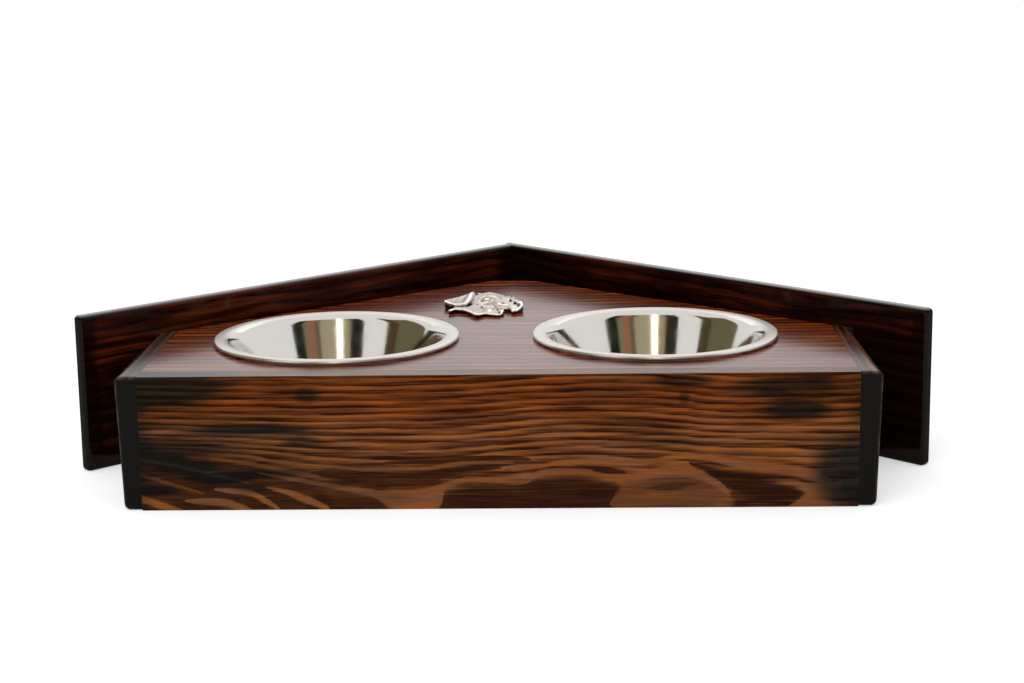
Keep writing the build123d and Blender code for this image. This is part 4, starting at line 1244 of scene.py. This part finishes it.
screw_tree, sockets = new_group("countersunk screws", "GeometryNodeTree", [
    ("Geometry", "NodeSocketGeometry", None), ("Length", "NodeSocketFloat", 0.03),
    ("Head Radius", "NodeSocketFloat", 0.0035), ("Shank Radius", "NodeSocketFloat", 0.00175),
    ("Head Height", "NodeSocketFloat", 0.002), ("Tip", "NodeSocketFloat", 0.004),
    ("Recess", "NodeSocketFloat", 0.0011), ("Finish", "NodeSocketMaterial", None)],
    [("Geometry", "NodeSocketGeometry")])
head, shank, length = sockets["Head Radius"], sockets["Shank Radius"], sockets["Length"]
neck = add_node(screw_tree, "ShaderNodeMath", {0: length, 1: sockets["Tip"]}, operation="SUBTRACT")
corners = [(0.0, 0.0, 0.0), (head, 0.0, HEAD_EDGE / 2), (head, HEAD_EDGE, HEAD_EDGE / 2),
           (shank, sockets["Head Height"], 0.0), (shank, neck, 0.0), (0.0, length, 0.0)]
body = turned(screw_tree, corners, SCREW_SEGMENTS, (0.0, 0.0, 0.0))
body = add_node(screw_tree, "GeometryNodeFlipFaces", {"Mesh": body})
deep = add_node(screw_tree, "ShaderNodeMath", {0: sockets["Recess"], 1: 2.0}, operation="MULTIPLY")
long_side = add_node(screw_tree, "ShaderNodeMath", {0: head, 1: RECESS_SPAN}, operation="MULTIPLY")
size = add_node(screw_tree, "ShaderNodeCombineXYZ", {"X": long_side, "Y": RECESS_WIDTH, "Z": deep})
for quarter in (0.0, math.pi / 2):
    bar = add_node(screw_tree, "GeometryNodeMeshCube", {"Size": size})
    bar = add_node(screw_tree, "GeometryNodeTransform", {"Geometry": bar, "Rotation": (0.0, 0.0, quarter)})
    body = add_node(screw_tree, "GeometryNodeMeshBoolean", {
        "Mesh 1": body, "Mesh 2": bar}, operation="DIFFERENCE", solver="MANIFOLD")
direction = add_node(screw_tree, "GeometryNodeInputNamedAttribute", {
    "Name": "direction"}, data_type="FLOAT_VECTOR")
turn = add_node(screw_tree, "FunctionNodeAlignRotationToVector", {"Vector": direction}, axis="Z")
placed = add_node(screw_tree, "GeometryNodeInstanceOnPoints", {
    "Points": sockets["Geometry"], "Instance": body.outputs["Mesh"], "Rotation": turn})
real = add_node(screw_tree, "GeometryNodeRealizeInstances", {"Geometry": placed})
plated = add_node(screw_tree, "GeometryNodeSetMaterial", {"Geometry": real, "Material": sockets["Finish"]})
add_node(screw_tree, "NodeGroupOutput", {"Geometry": plated})
print("countersunk screws:", len(screw_tree.nodes), "nodes")

# %% Screws in place
def screws(node):
    """One piece with all the screws of a CAD node, a run of the tree for each length."""
    joined = bmesh.new()
    for length in sorted({length for *_, length in places[node]}):
        chosen = [place for place in places[node] if place[2] == length]
        points = bpy.data.meshes.new("points")
        points.from_pydata([head for head, _, _ in chosen], [], [])
        attribute = points.attributes.new("direction", "FLOAT_VECTOR", "POINT")
        attribute.data.foreach_set("vector", [value for place in chosen for value in place[1]])
        piece = made_by(screw_tree, node + "_part", {"Length": length * MM, "Finish": zinc_plate}, points)
        joined.from_mesh(piece.data)
        bpy.data.objects.remove(piece)
    mesh = bpy.data.meshes.new(node + "_turned")
    joined.to_mesh(mesh)
    joined.free()
    mesh.materials.append(zinc_plate)
    return add_object(node + "_turned", mesh)


for node in SCREW_NODES:
    stand_in(screws(node), "feeder", node)

# %% Sizes and finish
scene.view_settings.view_transform = "Standard"
shown_low, shown_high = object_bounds()
sizes = {"cad": [list(cad_low), list(cad_high)], "visual": [list(shown_low), list(shown_high)]}
print("largest difference in mm:", round(max(
    abs(a - b) / MM for a, b in zip((*cad_low, *cad_high), (*shown_low, *shown_high))), 2))
